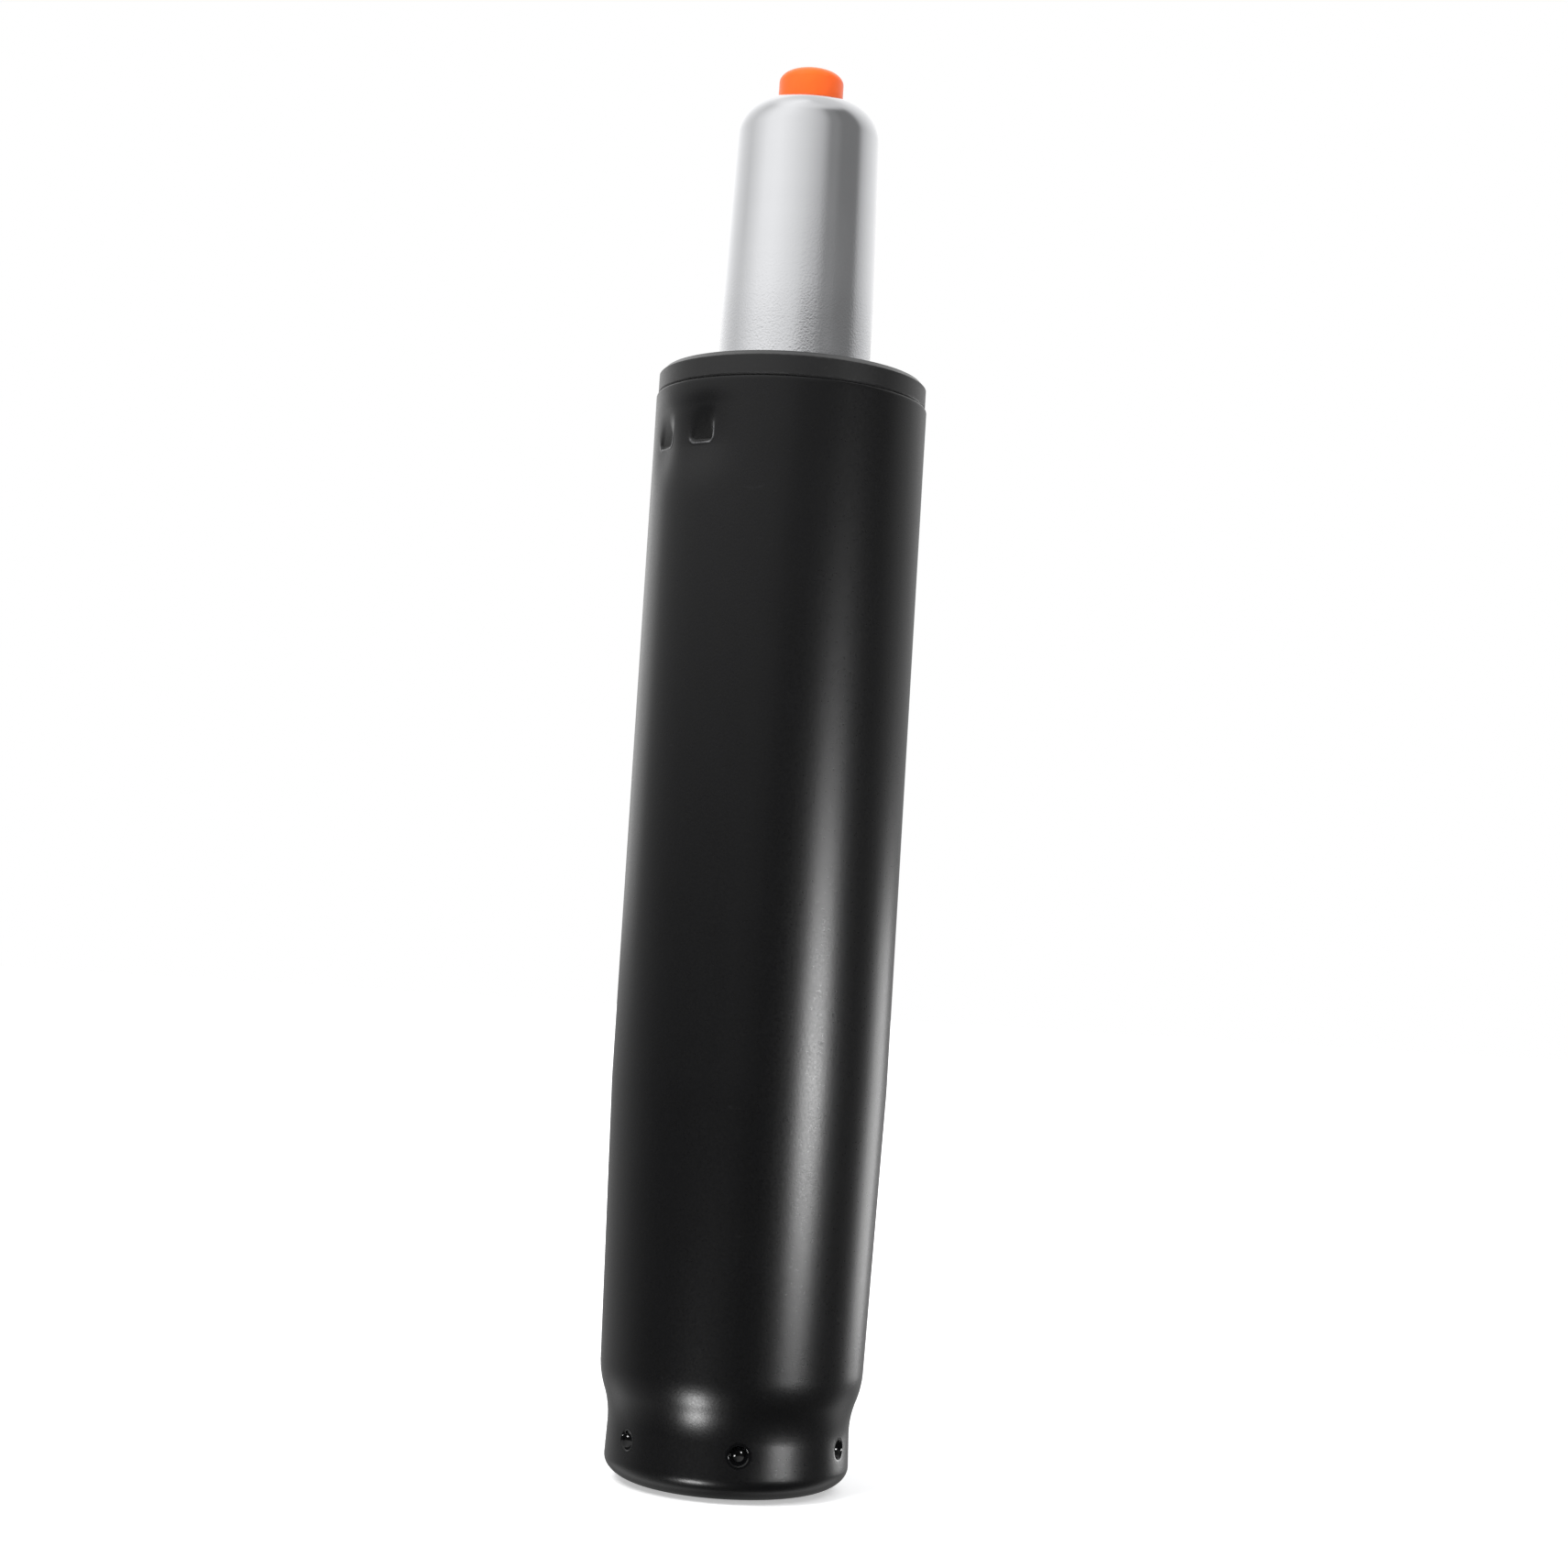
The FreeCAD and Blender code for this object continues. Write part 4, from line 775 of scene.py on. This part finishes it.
FINISHES = {
    "black_powder_coat": black_powder_coat(),
    "black_moulding": black_moulding(),
    "ground_steel": ground_steel(),
    "orange_plastic": orange_plastic(),
    "zinc_steel": turned_metal("zinc_steel", (0.62, 0.63, 0.64), (0.47, 0.48, 0.5), 0.34),
    "polished_steel": turned_metal("polished_steel", (0.72, 0.72, 0.73), (0.62, 0.62, 0.64), 0.12, 0.00008),
    "brass_sheet": turned_metal("brass_sheet", (0.75, 0.57, 0.27), (0.6, 0.43, 0.18), 0.28),
    "valve_brass": turned_metal("valve_brass", (0.78, 0.6, 0.3), (0.63, 0.46, 0.2), 0.25, 0.0002),
    "spring_steel": turned_metal("spring_steel", (0.16, 0.16, 0.17), (0.09, 0.09, 0.1), 0.42),
    "light_alloy": turned_metal("light_alloy", (0.76, 0.76, 0.77), (0.66, 0.66, 0.68), 0.3, 0.00025),
    "black_rubber": moulded("black_rubber", (0.02, 0.02, 0.02), (0.012, 0.012, 0.012), 0.75, 0.0005, 0.00003),
    "natural_plastic": moulded("natural_plastic", (0.75, 0.73, 0.66), (0.66, 0.63, 0.55), 0.5),
}

for part in frame["record"]["subparts"]:
    slots = frame["nodes"][part["node"]].data.materials
    slots.clear()
    slots.append(FINISHES[part["material_slot"]])

for piece, node, body, finish in [(column_piece(), "outer_column", "column", "black_powder_coat"),
                                  (tube_piece(), "pressure_tube", "tube", "ground_steel"),
                                  (button_piece(), "release_button", "button", "orange_plastic")]:
    piece.data.materials.append(FINISHES[finish])
    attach(piece, body)
    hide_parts(node)


# Studio

FLOOR_HALF = 6000.0
FLOOR_Z = -0.1
FLOOR_FADE = (0.1, 0.5)         # metres from the object over which the floor turns to white
FLOOR_GLOW = 0.42               # white that is added to the floor close to the object


def bearing_direction(degs):
    """Level unit vector from the axis: 0 degrees is towards the camera, and 90 to the camera's right."""
    turn = CAMERA_BEARING + math.radians(degs)
    return Vector((math.cos(turn), math.sin(turn), 0))


def soft_box(name, degs, away, height, width, tall, radiance, aim, glints=True, lights=True):
    """Rectangular lamp of an even radiance, which faces the object's axis.

    It stands at an angle to the right of the camera, so far away from the axis and so high, and it
    faces the axis at the height of its aim. It may be left out of reflections or of diffuse light.
    """
    lamp = bpy.data.lights.new(name, "AREA")
    lamp.shape = "RECTANGLE"
    lamp.size, lamp.size_y = width, tall
    lamp.energy = radiance * math.pi * width * tall
    stand = bpy.data.objects.new(name, lamp)
    bpy.context.scene.collection.objects.link(stand)
    stand.location = bearing_direction(degs) * away + Vector((0, 0, height))
    stand.rotation_mode = "QUATERNION"
    stand.rotation_quaternion = (Vector((0, 0, aim)) - stand.location).to_track_quat("-Z", "Y")
    stand.visible_camera = False
    stand.visible_glossy = glints
    stand.visible_diffuse = lights


# Lamps: bearing, distance, height of the stand, width and height of the face, radiance, aim
soft_box("low_right_box", 52, 0.6, 0.042, 0.19, 0.13, 36, 0.05, lights=False)
soft_box("right_rim_box", 130, 0.65, 0.018, 0.29, 0.2, 3.7, 0.05, lights=False)
soft_box("left_rim_box", -145, 0.9, 0.24, 0.6, 0.26, 0.72, 0.12)
soft_box("floor_bounce_box", -33, 0.42, -0.3, 0.12, 0.13, 36, 0.015, lights=False)
soft_box("front_left_box", -42, 0.8, 0.95, 0.5, 0.5, 14, 0.12, glints=False)
soft_box("front_right_box", 55, 0.8, 0.9, 0.5, 0.5, 4.5, 0.2, glints=False)
soft_box("top_box", 150, 0.9, 1.1, 0.6, 0.6, 1.8, 0.1, glints=False)


def studio_stops(ramp, stops):
    """Sets a ramp from (degrees to the right of the camera, level) pairs, in order."""
    elements = ramp.elements
    for place, (degs, level) in enumerate(stops):
        spot = (degs + 180) / 360
        element = elements[place] if place < len(elements) else elements.new(spot)
        element.position = spot
        element.color = (level, level, level, 1)


# What reflections see of the studio, in bands from the floor up: the sines of the slopes between which
# a band takes over from the one below, and levels by degrees to the right of the camera
STUDIO_BANDS = [
    (-1.0, -1.0, [(-180, 0.12), (-152, 0.3), (-132, 1.0), (-105, 0.5), (-70, 0.12), (60, 0.08),
                  (108, 0.15), (128, 1.0), (150, 0.3), (180, 0.12)]),
    (-0.4, -0.2, [(-180, 0.4), (-140, 0.45), (-118, 0.44), (-100, 0.3), (-80, 0.15), (-60, 0.1),
                  (-30, 0.08), (-16, 0.19), (2, 0.08), (8, 0.05), (40, 0.06), (100, 0.14), (125, 0.4),
                  (180, 0.4)]),
    (0.0, 0.24, [(-180, 0.95), (-157, 1.0), (-140, 0.85), (-120, 0.72), (-104, 0.74), (-84, 0.95), (-68, 1.1),
                 (-47, 1.15), (-10, 1.0), (0, 0.8), (6, 0.4), (12, 0.3), (34, 0.28), (60, 0.2), (93, 0.2),
                 (103, 0.42), (116, 0.55), (134, 0.7), (152, 0.75), (164, 0.6), (180, 0.9)]),
    (0.21, 0.245, [(-180, 1.25), (-157, 1.3), (-140, 1.12), (-122, 0.92), (-104, 0.78), (-84, 1.0),
                   (-68, 1.2), (-47, 1.24), (-35, 1.17), (-23, 1.08), (0, 0.89), (12, 0.77), (24, 0.62),
                   (30, 0.48), (37, 0.3), (48, 0.3), (58, 0.23), (90, 0.23), (101, 0.6), (116, 0.82),
                   (134, 1.0), (152, 1.1), (180, 1.2)]),
    (0.8, 0.93, [(-180, 0.9), (-60, 1.3), (0, 1.0), (60, 0.8), (180, 0.9)]),
]


def studio_world():
    """White surroundings for the camera, even light for matt surfaces, and the studio for reflections.

    Reflections see the white backdrop behind the object, bright walls at the left, dark ones at the
    right and a dark stretch low in front.
    """
    world = bpy.data.worlds.new("studio")
    bpy.context.scene.world = world
    world.use_nodes = True
    tree = world.node_tree
    tree.nodes.clear()
    direction = add(tree, "ShaderNodeTexCoord").outputs["Generated"]
    ahead, aside = [add(tree, "ShaderNodeVectorMath", {0: direction, 1: bearing_direction(degs)},
                        operation="DOT_PRODUCT") for degs in (0, 90)]
    turn = math_node(tree, "ARCTAN2", aside.outputs["Value"], ahead.outputs["Value"])
    share = math_node(tree, "ADD", math_node(tree, "DIVIDE", turn, 2 * math.pi), 0.5)
    rise = add(tree, "ShaderNodeSeparateXYZ", {0: direction}).outputs[2]
    seen = None
    for bottom, top, stops in STUDIO_BANDS:
        band = add(tree, "ShaderNodeValToRGB", {0: share})
        studio_stops(band.color_ramp, stops)
        level = band.outputs[0]
        seen = blended(tree, ramp_between(tree, rise, bottom, top), seen, level) if seen else level
    rays = add(tree, "ShaderNodeLightPath")
    reflected = add(tree, "ShaderNodeBackground", {"Color": seen, "Strength": 1.0})
    white = add(tree, "ShaderNodeBackground", {"Color": (1, 1, 1, 1), "Strength": 1.0})
    ambient = add(tree, "ShaderNodeBackground", {"Color": (0.97, 0.98, 1, 1), "Strength": 0.62})
    mixed = add(tree, "ShaderNodeMixShader", {0: rays.outputs["Is Glossy Ray"], 1: ambient.outputs[0],
                                              2: reflected.outputs[0]})
    direct = math_node(tree, "MAXIMUM", rays.outputs["Is Camera Ray"], rays.outputs["Is Transmission Ray"])
    final = add(tree, "ShaderNodeMixShader", {0: direct, 1: mixed.outputs[0], 2: white.outputs[0]})
    add(tree, "ShaderNodeOutputWorld", {"Surface": final.outputs[0]})
    world.cycles.sampling_method = "NONE"


def studio_floor():
    """Plain white floor, which keeps the object's shadow and turns to the backdrop's white further out."""
    half, z = FLOOR_HALF, FLOOR_Z
    points = np.array([[-half, -half, z], [half, -half, z], [half, half, z], [-half, half, z]])
    floor = make_piece("floor", points, [np.array([[0, 1, 2, 3]])])
    material, tree, shader, place = new_finish(
        "floor_white", Roughness=0.9, Specular_IOR_Level=0.0, Base_Color=(0.84, 0.84, 0.84, 1))
    away = add(tree, "ShaderNodeVectorMath", {0: place}, operation="LENGTH").outputs["Value"]
    rays = add(tree, "ShaderNodeLightPath")
    seen = math_node(tree, "MAXIMUM", rays.outputs["Is Camera Ray"], rays.outputs["Is Transmission Ray"])
    seen = math_node(tree, "MAXIMUM", seen, rays.outputs["Is Glossy Ray"])
    fade = ramp_between(tree, away, FLOOR_FADE[0], FLOOR_FADE[1], FLOOR_GLOW, 1.0)
    glow = add(tree, "ShaderNodeEmission", {"Strength": math_node(tree, "MULTIPLY", fade, seen)})
    both = add(tree, "ShaderNodeAddShader", {0: shader.outputs[0], 1: glow.outputs[0]})
    output = next(node for node in tree.nodes if node.type == "OUTPUT_MATERIAL")
    tree.links.new(both.outputs[0], output.inputs["Surface"])
    floor.data.materials.append(material)
    floor.visible_glossy = False
    floor.visible_shadow = False


def photo_camera():
    """Camera where the photographer stood: turned, pitched up and rolled about its own line of sight."""
    ahead = Vector((math.sin(CAMERA_YAW), math.cos(CAMERA_YAW), 0))
    forward = ahead * math.cos(CAMERA_PITCH) + Vector((0, 0, math.sin(CAMERA_PITCH)))
    level = Vector((math.cos(CAMERA_YAW), -math.sin(CAMERA_YAW), 0))
    upright = level.cross(forward)
    right = math.cos(CAMERA_ROLL) * level + math.sin(CAMERA_ROLL) * upright
    up = math.cos(CAMERA_ROLL) * upright - math.sin(CAMERA_ROLL) * level
    lens = bpy.data.cameras.new("photo_camera")
    lens.sensor_width = 36.0
    lens.lens = CAMERA_LENS
    lens.clip_start = 0.01
    camera = bpy.data.objects.new("photo_camera", lens)
    camera.matrix_world = Matrix((right, up, -forward)).transposed().to_4x4()
    camera.location = CAMERA_SPOT
    bpy.context.scene.collection.objects.link(camera)
    bpy.context.scene.camera = camera


studio_world()
studio_floor()
photo_camera()
bpy.context.scene.view_settings.view_transform = "Standard"
